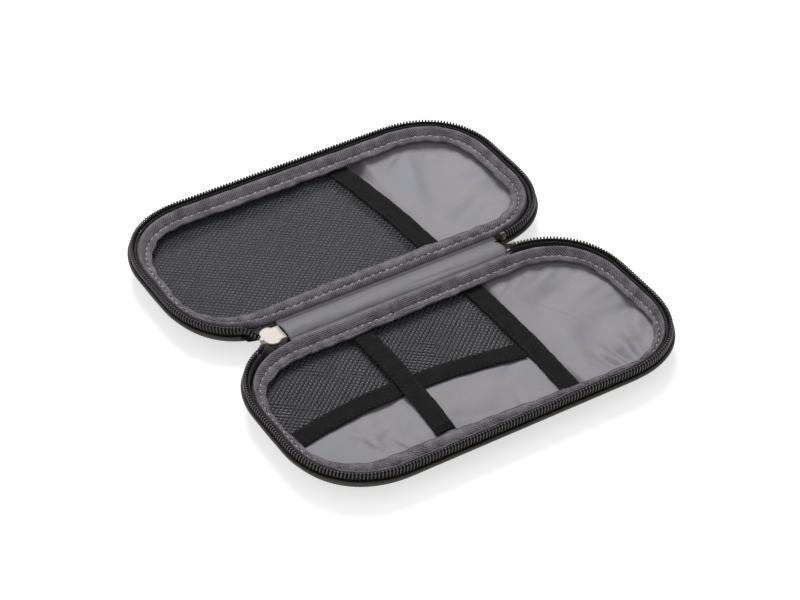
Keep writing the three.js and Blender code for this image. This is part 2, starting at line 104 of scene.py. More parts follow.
def maths(add, operation, first, second, **settings):
    """The result of one operation on two sockets or numbers."""
    return add("ShaderNodeMath", {0: first, 1: second}, operation=operation, **settings).outputs[0]


def seen_directly(add):
    """1 where a ray comes from the camera, a mirror or glass, 0 where it only carries light."""
    path = add("ShaderNodeLightPath").outputs
    mirror = maths(add, "ADD", path["Is Camera Ray"], path["Is Glossy Ray"])
    return maths(add, "ADD", mirror, path["Is Transmission Ray"], use_clamp=True)


def white_table(colour, glow):
    """A pale surface that takes shadows, with a glow that only the camera and mirrors see."""
    made, add, drive = new_material("table_white", {
        "Base Color": (*colour, 1), "Roughness": 0.9, "Specular IOR Level": 0.0,
        "Emission Color": (1, 1, 1, 1)})
    drive("Emission Strength", maths(add, "MULTIPLY", seen_directly(add), glow))
    return made


bpy.ops.mesh.primitive_plane_add(size=6)
table = bpy.context.object
table.name = "table"
table.data.materials.append(white_table((0.8, 0.8, 0.8), 0.61))

world = bpy.data.worlds.new("studio")
bpy.context.scene.world = world
world.use_nodes = True
sky = world.node_tree.nodes["Background"].inputs
sky["Color"].default_value = (1, 1, 1, 1)
sky["Strength"].default_value = 0.39


def lamp(name, place, aim, size, power):
    """A square soft lamp at place, facing aim, with its power in watts."""
    light = bpy.data.lights.new(name, "AREA")
    light.shape = "SQUARE"
    light.size = size
    light.energy = power
    made = bpy.data.objects.new(name, light)
    bpy.context.collection.objects.link(made)
    made.location = place
    made.rotation_euler = (Vector(aim) - Vector(place)).to_track_quat("-Z", "Y").to_euler()


lamp("window", (0.32, 0.74, 1.00), (0, 0, 0), 0.6, 12.2)
lamp("fill", (-0.8, -0.5, 0.9), (0, 0, 0), 0.9, 0.8)
lamp("front_card", (0.5, -1.1, 0.16), (0, 0, 0.01), 0.35, 1.1)
lamp("side_card", (-1.1, -0.10, 0.20), (0, 0, 0.01), 0.35, 1.5)
bpy.context.scene.view_settings.view_transform = "Standard"


# ---- Half shells ----
# Each half is a tray of moulded foam board covered in woven polyester: a flat bottom, round walls
# and a rim. The outline is a rounded rectangle whose corners are a little squarer than circles.

halves = (("base", -1), ("lid", 1))
case_length = 0.192
half_width = 0.103
corner_radius = 0.042
corner_power = 2.3
hinge_line = 0.00225
shell_height = 0.0086
wall_run = 0.0156
wall_roundness = 0.65
rim_inset = 0.0009
left_end_rise = 0.0009
notch_middle, notch_half, notch_side, notch_floor = -0.0653, 0.0083, 0.0070, 0.0071


def rim(side, inset, turn, hinge_inset=None):
    """Plan points of a half's outline drawn in by inset, at turns 0 to 8: even legs are corners.

    A corner is x = R |cos a|^(2/n), y = R |sin a|^(2/n) about its middle, with R = corner_radius
    less the inset and n = corner_power.
    """
    inset, turn = np.broadcast_arrays(np.asarray(inset, float), np.asarray(turn, float))
    hinge = inset if hinge_inset is None else np.broadcast_to(hinge_inset, inset.shape)
    radius = corner_radius - inset
    half = case_length / 2 - inset
    turn = np.mod(turn, 8)
    leg = np.floor(turn).astype(int)
    share = turn - leg

    def bend(value):
        return np.sign(value) * np.abs(value) ** (2 / corner_power) * radius

    def corner(which, part):
        which = np.mod(which, 4)
        middle_x = np.where(which < 2, radius - half, half - radius)
        near = (which == 0) | (which == 3)
        middle_y = hinge_line + np.where(near, hinge + radius, half_width - inset - radius)
        angle = (1 + which + part) * np.pi / 2
        return middle_x + bend(np.cos(angle)), middle_y - bend(np.sin(angle))

    cx, cy = corner(leg // 2, np.where(leg % 2 == 0, share, 1.0))
    nx, ny = corner(leg // 2 + 1, 0.0)
    straight = np.where(leg % 2 == 0, 0.0, share)
    return np.stack([cx + (nx - cx) * straight, side * (cy + (ny - cy) * straight)], -1)


def lifted(plan, height):
    """Plan points at a height."""
    height = np.broadcast_to(height, plan.shape[:-1])
    return np.concatenate([plan, height[..., None]], -1)


def carried(side, turns, inset, height):
    """A profile carried along the outline: row i is at turn i, column j has inset and height j."""
    inset, height, turns = np.broadcast_arrays(inset, height, np.asarray(turns)[:, None])
    return lifted(rim(side, inset, turns), height)


def unit(ways):
    """The same directions with length 1."""
    return ways / np.linalg.norm(ways, axis=-1, keepdims=True)


def even_turns(inset, start, end, count):
    """count turns from start to end, at equal distances along the outline drawn in by inset."""
    fine = np.linspace(start, end, 4001)
    steps = np.linalg.norm(np.diff(rim(1, inset, fine), axis=0), axis=1)
    length = np.concatenate([[0], np.cumsum(steps)])
    return np.interp(np.linspace(0, length[-1], count), length, fine), length[-1]


def grid_faces(rows, columns, wrap_rows, wrap_columns):
    """The quads between neighbours of a grid, joined round where wrap says so."""
    i = np.arange(rows - (not wrap_rows))[:, None]
    j = np.arange(columns - (not wrap_columns))
    next_i, next_j = (i + 1) % rows, (j + 1) % columns
    corners = [(i, j), (next_i, j), (next_i, next_j), (i, next_j)]
    return np.stack(np.broadcast_arrays(*(a * columns + b for a, b in corners)), -1).reshape(-1, 4)


def closed_ends(rows, columns):
    """Quads that close a grid's first and last rings, in strips between opposite points."""
    j = np.arange(columns // 2 - 1)
    strip = np.stack([j, j + 1, columns - 2 - j, columns - 1 - j], -1)
    return np.concatenate([strip, strip[:, ::-1] + (rows - 1) * columns])


def tube_faces(rows, columns):
    """Quads of a tube whose two ends are closed."""
    return np.concatenate([grid_faces(rows, columns, False, True), closed_ends(rows, columns)])


def make_piece(name, points, faces, material, body, slot, replaced, weave=None):
    """A smooth mesh object from points and quads, with weave as its UV in metres.

    body is the name of the body it rides on. For cloth across a fold it holds two bodies and the
    points where the bend starts and ends; these are not used, and the piece is left unattached.
    """
    points = np.asarray(points, float).reshape(-1, 3)
    mesh = bpy.data.meshes.new(name)
    mesh.vertices.add(len(points))
    mesh.vertices.foreach_set("co", points.ravel())
    mesh.loops.add(faces.size)
    mesh.loops.foreach_set("vertex_index", faces.ravel())
    mesh.polygons.add(len(faces))
    mesh.polygons.foreach_set("loop_start", np.arange(0, faces.size, faces.shape[1]))
    mesh.polygons.foreach_set("loop_total", np.full(len(faces), faces.shape[1]))
    mesh.polygons.foreach_set("use_smooth", np.ones(len(faces), bool))
    if weave is not None:
        layer = mesh.uv_layers.new(name="weave")
        corner_uv = np.asarray(weave, float).reshape(-1, 2)[faces.ravel()]
        layer.data.foreach_set("uv", corner_uv.ravel())
    mesh.update(calc_edges=True)
    mesh.validate()
    mesh.materials.append(material)
    piece = bpy.data.objects.new(name, mesh)
    bpy.context.collection.objects.link(piece)
    if isinstance(body, str):
        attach(piece, body)
    else:
        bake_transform(piece)
    if replaced:
        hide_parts(*replaced)
    return piece


def path_lengths(points, axis):
    """Distance travelled along one axis of a grid of points, from 0 at its first row or column."""
    steps = np.linalg.norm(np.diff(points, axis=axis), axis=-1)
    zero = np.zeros_like(np.take(steps, [0], axis=axis))
    return np.cumsum(np.concatenate([zero, steps], axis=axis), axis=axis)


def tinted(add, share, dark, light):
    """A colour that goes from dark to light with a share."""
    inputs = {"Factor": share, "A": (*dark, 1), "B": (*light, 1)}
    return add("ShaderNodeMix", inputs, data_type="RGBA").outputs["Result"]


def relief(add, height, strength, distance):
    """The direction of a surface that height raises by up to distance."""
    inputs = {"Height": height, "Strength": strength, "Distance": distance}
    return add("ShaderNodeBump", inputs).outputs["Normal"]


def threads_across(add, where, spacing, direction, **more):
    """Waves with crests spacing metres apart: at scale 1 they are 0.314 m apart."""
    inputs = {"Vector": where, "Scale": 0.314 / spacing, **more}
    return add("ShaderNodeTexWave", inputs, bands_direction=direction).outputs["Fac"]


def mottling(add, where, scale, detail, **more):
    """Soft random patches, smaller for a higher scale."""
    inputs = {"Vector": where, "Scale": scale, "Detail": detail, **more}
    return add("ShaderNodeTexNoise", inputs).outputs["Fac"]


def along_weave(add):
    """Place on the cloth: metres along and across its threads."""
    return add("ShaderNodeUVMap", uv_map="weave").outputs["UV"]


def woven_cloth(name, dark, light, thread, bump, roughness, sheen=0.0):
    """Cloth of two crossing threads: thread is their spacing, bump how far they stand out."""
    made, add, drive = new_material(name, {"Roughness": roughness, "Sheen Weight": sheen})
    uv = along_weave(add)
    both = maths(add, "MULTIPLY", threads_across(add, uv, thread, "X"),
                 threads_across(add, uv, thread, "Y"))
    mixed = maths(add, "MULTIPLY", both, mottling(add, uv, 90.0, 3.0))
    drive("Base Color", tinted(add, mixed, dark, light))
    drive("Normal", relief(add, both, 0.6, bump))
    return made


shell_cloth = woven_cloth("shell_cloth", (0.016, 0.012, 0.011), (0.15, 0.12, 0.11),
                          0.0006, 0.0001, 0.85, 0.1)


def eased(share):
    """3 s^2 - 2 s^3 of a share kept between 0 and 1."""
    share = np.clip(share, 0, 1)
    return share ** 2 * (3 - 2 * share)


def left_end(points):
    """1 along a half's left end, where its edge is drawn up, and 0 towards middle and hinge."""
    from_middle, from_hinge = -points[..., 0] - 0.055, np.abs(points[..., 1]) - 0.010
    return eased(from_middle / 0.030) * eased(from_hinge / 0.020)


def shell_grid(side, turns):
    """Rings from the middle of the floor, out and up the round wall to the rim, and down inside.

    The wall is a drawn-in quarter ellipse: it runs wall_run (1 - cos a)^wall_roundness inward
    and rises shell_height (1 - sin a), for a from 90 to 0 degrees.
    """
    angle = np.linspace(np.pi / 2, 0, 16)
    outer = np.stack([wall_run * (1 - np.cos(angle)) ** wall_roundness + rim_inset,
                      shell_height * (1 - np.sin(angle))], -1)
    lip = [[0.0010, shell_height + 0.0002], [0.0017, shell_height + 0.0003], [0.0027, shell_height]]
    few = angle[::-3]
    inner = np.stack([0.014 * (1 - np.cos(few)), shell_height - 0.006 * np.sin(few)], -1)
    profile = np.concatenate([outer, lip, inner + [0.0029, 0]])
    rings = carried(side, turns, profile[:, 0], profile[:, 1]).transpose(1, 0, 2)
    middle = np.array([0, side * (hinge_line + half_width / 2), 0])
    shares = np.array([0.02, 0.3, 0.6, 0.85])[:, None, None]
    floor = middle + (rings[0] - middle) * shares
    inside = middle + (rings[-1] - middle) * shares[::-1]
    inside[..., 2] = rings[-1][:, 2]
    grid = np.concatenate([floor, rings, inside])
    up_share = np.clip(grid[..., 2] / shell_height, 0, 1)
    grid[..., 2] += left_end_rise * left_end(grid) * up_share ** 2
    notch = (np.abs(grid[..., 1]) < notch_side) & (np.abs(grid[..., 0] - notch_middle) < notch_half)
    grid[..., 2] = np.where(notch, np.minimum(grid[..., 2], notch_floor), grid[..., 2])
    return grid


for half, side in halves:
    turns = even_turns(0.001, 0, 8, 361)[0][:-1]
    shell = shell_grid(side, turns)
    outward = unit(rim(side, 0.0, turns) - rim(side, 0.01, turns))
    risen = path_lengths(shell, 0) - path_lengths(shell[..., :2], 0)
    weave = shell[..., :2] + risen[..., None] * outward
    quads = tube_faces(*shell.shape[:2])
    make_piece(f"{half}_shell_cloth", shell, quads[:, ::-1] if side < 0 else quads, shell_cloth,
               half, "shell_fabric", [f"{half}_shell"], weave)


# ---- Edge piping ----
# A thin cord wrapped in cloth is sewn between the shell's rim and the zipper tape.
# It runs round the three zipped sides, from one end of the zipper to the other.

piping_radius = 0.00075
piping_height = shell_height + 0.0003 + piping_radius
piping_rise = 0.0010
zipper_left = 0.075
zipper_right = 0.0585


def turn_at(inset, reach):
    """Turn of a hinge corner where the outline is reach away from the middle.

    It solves sin(a)^(2/n) = (reach - straight) / R, with the R and n of the outline.
    """
    along = (reach - (case_length / 2 - corner_radius)) / (corner_radius - inset)
    return np.arcsin(along ** (corner_power / 2)) / (np.pi / 2)


def zipped_turns(inset, spacing, right=zipper_right):
    """Turns round the three zipped sides, spacing apart, and the distance to each."""
    start, end = turn_at(inset, zipper_left), 7 - turn_at(inset, right)
    length = even_turns(inset, start, end, 2)[1]
    count = int(round(length / spacing)) + 1
    return even_turns(inset, start, end, count)[0], np.linspace(0, length, count)


def full_circle(count):
    """count angles round a circle."""
    return np.linspace(0, 2 * np.pi, count, endpoint=False)


def facing_out(points, faces):
    """The faces, turned over if the volume inside them, the sum of a . (b x c) / 6, is negative."""
    corners = np.asarray(points, float).reshape(-1, 3)[faces]
    a, b, c, d = (corners[:, i] for i in range(4))
    volume = (a * np.cross(b, c)).sum() + (a * np.cross(c, d)).sum()
    return faces[:, ::-1] if volume < 0 else faces


def tube(name, points, material, body, slot, replaced, weave=None):
    """A closed tube from rings; its UV is the distance along and round it, if none is given."""
    points = np.asarray(points, float)
    if weave is None:
        weave = np.stack([path_lengths(points, 0), path_lengths(points, 1)], -1)
    faces = facing_out(points, tube_faces(*points.shape[:2]))
    return make_piece(name, points, faces, material, body, slot, replaced, weave)


piping_cloth = woven_cloth("piping_cloth", (0.035, 0.029, 0.026), (0.30, 0.25, 0.225),
                           0.00042, 0.00008, 0.8, 0.1)

for half, side in halves:
    turns, along = zipped_turns(piping_radius, 0.0012)
    angle = full_circle(12)
    swell = 1 - 0.05 * (1 + np.sin(along / 0.0031))[:, None]
    inset = piping_radius * (1 - swell * np.cos(angle))
    cord = carried(side, turns, inset, piping_height + piping_radius * swell * np.sin(angle))
    cord[..., 2] += piping_rise * left_end(cord)
    tube(f"{half}_piping_cord", cord, piping_cloth, half, "edge_piping", [f"{half}_edge_piping"])


# ---- Zipper tapes ----
# A woven polyester tape stands inside each row of the zipper, which is sewn along its upper edge.
# It has a herringbone weave, and its lower part is caught in the seam with piping and lining.

tape_inset = 0.0033
tape_top = 0.0133
tape_bottom = 0.0084


def herringbone(name, dark, light, rib, turn_back, bump, roughness):
    """Slanting ribs that turn back every turn_back metres across, as a wave over x + |y|."""
    made, add, drive = new_material(name, {"Roughness": roughness, "Sheen Weight": 0.15})
    uv = along_weave(add)
    parts = add("ShaderNodeSeparateXYZ", {0: uv}).outputs
    slant = maths(add, "ADD", parts["X"], maths(add, "PINGPONG", parts["Y"], turn_back))
    line = add("ShaderNodeCombineXYZ", {"X": slant}).outputs[0]
    ribs = threads_across(add, line, rib, "X")
    mixed = maths(add, "MULTIPLY", ribs, mottling(add, uv, 300.0, 2.0))
    drive("Base Color", tinted(add, mixed, dark, light))
    drive("Normal", relief(add, ribs, 0.7, bump))
    return made


tape_cloth = herringbone("tape_cloth", (0.006, 0.006, 0.0065), (0.03, 0.03, 0.032),
                         0.0005, 0.0012, 0.00008, 0.85)

for half, side in halves:
    turns, along = zipped_turns(tape_inset, 0.002)
    across = np.array([0, 0, 0, 1, 3, 5, 6, 6, 6, 4, 3, 2]) / 10000
    rise = np.array([0.03, 0.5, 0.93, 0.99, 1.0, 0.99, 0.93, 0.5, 0.03, 0, 0, 0])
    height = tape_bottom + (tape_top - tape_bottom) * rise
    tape = carried(side, turns, tape_inset + across, height)
    tube(f"{half}_tape_weave", tape, tape_cloth, half, "zipper_tape", [f"{half}_zipper_tape"])


# ---- Zipper coils ----
# Each row is one nylon thread wound into a flattened spiral. Every turn of it is a tooth, and its
# top is the wider head. A core cord lies inside the spiral, and the row is sewn to the tape.

coil_pitch = 0.00154
coil_middle = 0.002
coil_half = 0.00064
coil_centre = 0.01285
coil_reach = 0.00179
thread_half = 0.00034
head_extra = 0.00013
steps_a_turn = 14
left_end_flatter = 0.27
core_ring = full_circle(10)
core_across, core_up = 0.00024 * np.cos(core_ring), 0.00125 * np.sin(core_ring) - 0.0002


def ranged(add, value, source=(0, 1), target=(0, 1)):
    """A value carried over from its source range to a target range."""
    inputs = {"Value": value, "From Min": source[0], "From Max": source[1],
              "To Min": target[0], "To Max": target[1]}
    return add("ShaderNodeMapRange", inputs).outputs[0]


def scaled(add, where, scale, **more):
    """The place with each of its coordinates multiplied, to draw a pattern out into lines."""
    return add("ShaderNodeMapping", {"Vector": where, "Scale": scale, **more}).outputs[0]


def moulded_nylon(name, dark, light, roughness):
    """Drawn nylon: fine lines along the thread and a slow change of colour."""
    made, add, drive = new_material(name, {"Specular IOR Level": 0.8})
    uv = along_weave(add)
    lines = mottling(add, scaled(add, uv, (400, 9000, 1)), 1.0, 2.0)
    drive("Base Color", tinted(add, mottling(add, uv, 60.0, 2.0), dark, light))
    drive("Normal", relief(add, lines, 0.3, 0.00003))
    drive("Roughness", ranged(add, lines, target=(roughness - 0.06, roughness + 0.1)))
    return made


nylon = moulded_nylon("coil_nylon", (0.010, 0.010, 0.010), (0.036, 0.033, 0.031), 0.36)
core_cloth = woven_cloth("coil_core", (0.004, 0.004, 0.004), (0.02, 0.02, 0.02),
                         0.0004, 0.00005, 0.9)


def round_sign(value, power):
    """The value's size to a power, with its sign kept."""
    return np.sign(value) * np.abs(value) ** power


def rounded_section(count, across_power, up_power):
    """A section's places across and up, from -1 to 1: the cosine and sine with such powers."""
    ring = full_circle(count)
    return round_sign(np.cos(ring), across_power), round_sign(np.sin(ring), up_power)


def bell(value, wide):
    """exp(-(value / wide)^2), which is 1 at 0 and falls to nothing on both sides."""
    return np.exp(-(value / wide) ** 2)


def wound(length):
    """A thread of oval section along a flat spiral: rings of place along the row, inset, height.

    Over one turn u the thread's middle goes round a rounded rectangle of inset and height, and
    moves pitch (1/2 + (2u - 1)|2u - 1|^2 / 2) along the row: mostly at the foot, where u is 0 or 1.
    """
    count = int(length / coil_pitch)
    share = np.arange(count * steps_a_turn) / steps_a_turn
    turn, u = np.floor(share), share % 1
    advance = length / count * (turn + 0.5 + (2 * u - 1) * np.abs(2 * u - 1) ** 2 / 2)
    angle = 2 * np.pi * u - np.pi / 2
    inset = -coil_half * round_sign(np.cos(angle), 0.7)
    height = coil_reach * round_sign(np.sin(angle), 0.75)
    going = unit(np.gradient(np.stack([inset, height], -1), axis=0))
    ring = full_circle(8)
    wide = (thread_half + head_extra * bell(u - 0.5, 0.13))[:, None]
    thick = thread_half * np.sin(ring)
    place = np.clip(advance[:, None] + wide * np.cos(ring), 0, length)
    return place, inset[:, None] - going[:, 1:] * thick, height[:, None] + going[:, :1] * thick


for half, side in halves:
    turns, along = zipped_turns(coil_middle, 0.0004, zipper_right + 0.0033)
    place, inset, height = wound(along[-1])
    plan = rim(side, coil_middle + inset, np.interp(place, along, turns))
    flatter = 1 - left_end_flatter * left_end(plan)
    top = coil_centre + coil_reach - (coil_reach - height) * flatter
    tube(f"{half}_coil_teeth", lifted(plan, top), nylon, half, "zipper_nylon",
         [f"{half}_zipper_coil"])
    core = carried(side, np.append(turns[4:-1:3], turns[-1]), coil_middle + core_across,
                   coil_centre + core_up)
    tube(f"{half}_coil_core", core, core_cloth, half, "zipper_tape", [])


# ---- Top stops ----
# At the right end each row is closed by a small stop of moulded nylon.
# It is fused over the last two teeth, and its ends and edges are rounded.

stop_length = 0.003
stop_inset, stop_half_width = 0.0019, 0.0011
stop_middle, stop_half_height = 0.01275, 0.0022


def rounded_ends(count, least):
    """Size of each ring of a block with round ends: (1 - |t|^8)^(1/3) for t from -1 to 1, but at
    least the size given."""
    t = np.linspace(-1, 1, count)
    return t[:, None], np.maximum((1 - np.abs(t) ** 8) ** (1 / 3), least)[:, None]


for half, side in halves:
    t, size = rounded_ends(13, 0.55)
    ends = [7 - turn_at(coil_middle, zipper_right + more) for more in (stop_length, 0)]
    across, up = rounded_section(20, 0.55, 0.5)
    stop = carried(side, np.interp(t[:, 0], (-1, 1), ends),
                   stop_inset - stop_half_width * size * across,
                   stop_middle + stop_half_height * size * up)
    tube(f"{half}_moulded_stop", stop, nylon, half, "zipper_nylon", [f"{half}_top_stop"])


# ---- Linings ----
# A loose tray of grey satin lies in each shell and is sewn in under the border ribbon. It is cut
# a little large, so it swells up in soft folds, with puckers where it is caught in the seam.

border_inset = 0.0042
lining_top = 0.0096
tray_floor = 0.0035
lining_run = 0.0126
satin_thickness = 0.0004
open_from, open_over = 0.033, 0.0065


def soft_waves(x, y, seed, longest, height):
    """Folds of cloth: nine sine waves, each shorter and lower than the last, in seeded ways."""
    chance = np.random.default_rng(seed)
    total = np.zeros(np.broadcast(x, y).shape)
    for step in range(9):
        way = chance.uniform(0, np.pi)
        size = longest / (1 + 0.55 * step)
        across = (x * np.cos(way) + y * np.sin(way)) / size * 2 * np.pi
        along = (y * np.cos(way) - x * np.sin(way)) / (size * 2.3) * 2 * np.pi
        bend = 0.8 * np.sin(along + chance.uniform(0, 6))
        total += np.sin(across + bend + chance.uniform(0, 6)) / (1 + 0.7 * step)
    return height * total / 2.2


def slow_waves(along, sizes, seed):
    """Waves of given lengths along a path, each with a seeded start, averaged."""
    chance = np.random.default_rng(seed)
    waves = (np.sin(along / size * 2 * np.pi + chance.uniform(0, 6)) for size in sizes)
    return sum(waves) / len(sizes)


def single_folds(x, y, folds):
    """Ridges and dents set one by one, of height times two bells: along each and across it.

    folds has x, y, direction in degrees, length, width and height of each, in millimetres.
    """
    total = 0.0
    for place_x, place_y, turn_deg, long, wide, height in folds:
        way = np.radians(turn_deg)
        off_x, off_y = x * 1000 - place_x, y * 1000 - place_y
        along = off_x * np.cos(way) + off_y * np.sin(way)
        across = off_y * np.cos(way) - off_x * np.sin(way)
        total = total + height / 1000 * bell(along, long) * bell(across, wide)
    return total


def satin_cloth(name, cool, warm, thread):
    """Satin: long floats one way, a tint that drifts from a cool to a warm grey, a low gloss."""
    made, add, drive = new_material(name, {"Sheen Weight": 0.1, "Sheen Roughness": 0.35})
    uv = along_weave(add)
    warmth = ranged(add, mottling(add, uv, 48.0, 2.0, Roughness=0.5), (0.36, 0.64))
    floats = scaled(add, uv, (0.25 / thread, 1 / thread, 1), Rotation=(0, 0, 0.5))
    threads = mottling(add, floats, 1.0, 2.0)
    shades = {"Factor": 1.0, "A": tinted(add, warmth, cool, warm),
              "B": ranged(add, threads, (0.3, 0.7), (0.90, 1.08))}
    woven = add("ShaderNodeMix", shades, data_type="RGBA", blend_type="MULTIPLY")
    drive("Base Color", woven.outputs["Result"])
    drive("Normal", relief(add, threads, 0.25, 0.00003))
    drive("Roughness", ranged(add, threads, target=(0.52, 0.68)))
    return made


satin = satin_cloth("lining_satin", (0.232, 0.232, 0.264), (0.268, 0.244, 0.258), 0.0005)


def sheet_piece(name, grid, faces, thickness, *what):
    """A sheet that faces up, with a thickness downwards: what is as for make_piece."""
    piece = make_piece(name, grid, faces, *what, grid[..., :2])
    solid = piece.modifiers.new("thickness", "SOLIDIFY")
    solid.thickness = thickness
    solid.offset = -1
    return piece


# the open part swells up: it falls from the seam by drop (1 - exp(-(reach / way)^1.2)) only
swell_drop = {"base": 0.0042, "lid": 0.0050}
swell_way = 0.019

tray_folds = {
    "base": (
        (61, -35, 10, 11, 6, -1.6), (55.2, -44.5, -65, 9, 0.9, 0.5), (57.0, -45.2, -65, 9, 1, -0.6),
        (72, -84, 75, 10, 2.6, -2), (62, -86, 95, 9, 1.9, -1.5), (67, -85, 85, 10, 2.2, 1.2),
        (55, -88, 100, 8, 2, -1.3), (58.5, -87, 95, 8, 1.8, 1), (79, -74, 50, 11, 4, 1.5),
        (84, -62, 20, 9, 3.5, -1.4), (50, -68, 70, 18, 6, 0.9), (76, -40, 140, 16, 6, 0.9),
        (70, -62, 20, 18, 6, -0.9), (46, -82, 80, 10, 4, 0.7), (46, -30, 100, 9, 4, 0.7)),
    "lid": (
        (56, 78, 70, 14, 4, 0.8), (70, 82, 120, 10, 4, -0.6), (80, 60, 150, 14, 5, 0.6),
        (60, 36, 20, 15, 4.5, -0.8), (74, 34, 35, 11, 4, 0.6), (46, 60, 95, 20, 6, 0.6),
        (58, 62, 60, 18, 5, -0.7), (82, 44, 60, 10, 4, -0.7), (68, 48, 30, 12, 4, 0.4)),
}

for half, side in halves:
    angle = np.linspace(0, np.pi / 2, 13)
    inset = border_inset + 0.0006 + lining_run * (1 - np.cos(angle))
    height = lining_top - (lining_top - tray_floor) * np.sin(angle)
    turns, length = even_turns(0.014, 0, 8, 601)
    plan = rim(side, inset, turns[:-1, None], inset + 0.0012)
    wall = lifted(plan, height).transpose(1, 0, 2)
    middle = np.array([0, side * (hinge_line + half_width / 2), tray_floor])
    shares = np.append(np.linspace(0.98, 0.02, 64), 0.004)[:, None, None]
    tray = np.concatenate([wall, middle + (wall[-1] - middle) * shares])
    x, y, z = np.moveaxis(tray, -1, 0)
    depth = np.clip((lining_top - z) / (lining_top - tray_floor), 0, 1)
    open_part = eased((x - open_from) / open_over)
    along = np.linspace(0, length, 601)[:-1]
    reach = path_lengths(tray, 0)
    gathers = 0.0003 * slow_waves(along, (0.0213, 0.0124, 0.0083), 11 + side)
    gathers = gathers * bell(reach - 0.013, 0.007)
    folds = soft_waves(x, y, 7 + side, 0.085, 0.0007)
    placed = single_folds(x, y, tray_folds[half])
    fallen = swell_drop[half] * (1 - np.exp(-(reach / swell_way) ** 1.2))
    puffed = lining_top - 0.0002 - fallen
    tray[..., 2] += depth * (np.abs(folds) * 1.2 - 0.0002)
    tray[..., 2] += open_part * (np.maximum(puffed - tray[..., 2], 0) + depth * (gathers + placed))
    centre = closed_ends(*tray.shape[:2])
    quads = grid_faces(*tray.shape[:2], False, True)
    outward = facing_out(tray, np.concatenate([quads, centre[len(centre) // 2:]]))
    lining = sheet_piece(f"{half}_satin_lining", tray, outward[:, ::-1], satin_thickness,
                         satin, half, "lining_satin", [f"{half}_lining"])


# ---- Border ribbons ----
# A ribbed ribbon is folded over a soft filling and sewn down along its length over the lining's
# edge. The stitches make it two puffs with a valley; where the lining pulls, the inner one hangs.

border_foot = 0.0099
border_side = 0.0118
border_valley = 0.0108
hinge_border_inset = {"base": 0.00615, "lid": 0.00575}
stitch_pitch = 0.0037
join_x, join_slant = -0.0066, 0.0058

ribbon_shape = {
    # place round the outline, inner edge's inset, the same at the hinge, stitch line's share of
    # the width, crest's height, inner puff's swell, inner edge's height; lengths in millimetres
    "base": (
        (0.0, 9.5, 16.3, 0.52, 13.5, 0.9, 10.4), (0.5, 8.8, 14, 0.48, 13.3, 0.7, 9.8),
        (1.2, 8.6, 12, 0.50, 13.2, 0.4, 9.5), (2.0, 9.2, 12, 0.50, 13.2, 0.4, 9.6),
        (2.6, 12.4, 12, 0.34, 13.1, 0.9, 10.6), (3.0, 13.6, 12, 0.27, 13, 1.2, 11.4),
        (3.3, 13.2, 12, 0.27, 13, 1.2, 11.4), (3.5, 11.2, 12, 0.32, 13.1, 1.1, 11.3),
        (3.8, 9.6, 12, 0.38, 13.2, 0.9, 11.2), (4.1, 8.4, 12, 0.44, 13.3, 0.7, 11),
        (4.6, 9, 12, 0.52, 13.4, 0.6, 10.8), (5.0, 10.9, 12, 0.58, 13.6, 0.7, 10.5),
        (6.0, 11.2, 12, 0.60, 13.6, 0.6, 10.4), (6.6, 11.8, 13.6, 0.60, 13.6, 0.6, 10.4),
        (7.0, 12, 14.4, 0.60, 13.6, 0.6, 10.4), (7.55, 12, 14.8, 0.60, 13.6, 0.6, 10.4),
        (7.75, 10, 16.4, 0.58, 13.6, 0.8, 10.4)),
    "lid": (
        (0.0, 12, 16.6, 0.46, 13.3, 1.2, 11.2), (0.5, 10.6, 14, 0.46, 13.2, 0.8, 10.3),
        (1.0, 9.6, 12, 0.50, 13.2, 0.4, 9.5), (2.0, 10, 12, 0.52, 13.3, 0.5, 9.6),
        (2.5, 11.8, 12, 0.58, 13.5, 0.6, 10.3), (3.0, 14, 12, 0.61, 13.6, 0.6, 10.3),
        (3.5, 14.2, 12, 0.61, 13.6, 0.6, 10.3), (4.0, 13.6, 12, 0.60, 13.6, 0.6, 10.4),
        (4.5, 12.2, 12, 0.58, 13.6, 0.6, 10.4), (5.0, 12, 12, 0.54, 13.5, 0.7, 10.6),
        (6.0, 12, 12, 0.50, 13.4, 0.8, 11), (6.5, 11.8, 13.4, 0.46, 13.3, 1.1, 11.2),
        (7.0, 13, 16.2, 0.44, 13.3, 1.2, 11.3), (7.6, 12, 16.6, 0.44, 13.3, 1.2, 11.3)),
}


def around(half, turn):
    """The ribbon's six measures at a turn: straight between places, averaged over half a turn."""
    places = np.array(ribbon_shape[half])
    shifts = np.linspace(-0.25, 0.25, 11)

    def averaged(column):
        return np.mean([np.interp(turn + d, places[:, 0], column, period=8) for d in shifts], 0)

    units = (0.001, 0.001, 1, 0.001, 0.001, 0.001)
    return [averaged(column) * size for column, size in zip(places[:, 1:].T, units)]


def ribbed_ribbon(name, dark, light, rib, bump, roughness, gloss):
    """Ribs across a ribbon, broken by a twill, by single thicker threads and by patches."""
    made, add, drive = new_material(name, {"Roughness": roughness, "Specular IOR Level": gloss})
    uv = along_weave(add)
    ribs = threads_across(add, uv, rib, "X", Distortion=1.5, Detail=1.0)
    twill = threads_across(add, uv, rib * 1.3, "DIAGONAL", Distortion=0.8)
    uneven = maths(add, "ADD", mottling(add, uv, 0.7 / rib, 2.0, Roughness=0.7),
                   mottling(add, uv, 160.0, 3.0))
    mixed = maths(add, "ADD", maths(add, "MULTIPLY", ribs, twill), uneven)
    drive("Base Color", tinted(add, ranged(add, mixed, (0.85, 1.6)), dark, light))
    drive("Normal", relief(add, mixed, 0.8, bump))
    return made


ribbon = ribbed_ribbon("border_ribbon", (0.040, 0.036, 0.041), (0.325, 0.295, 0.33),
                       0.0005, 0.00022, 0.75, 0.2)
thread_grey = woven_cloth("stitch_thread", (0.50, 0.47, 0.50), (0.85, 0.80, 0.85),
                          0.0002, 0.00004, 0.6)


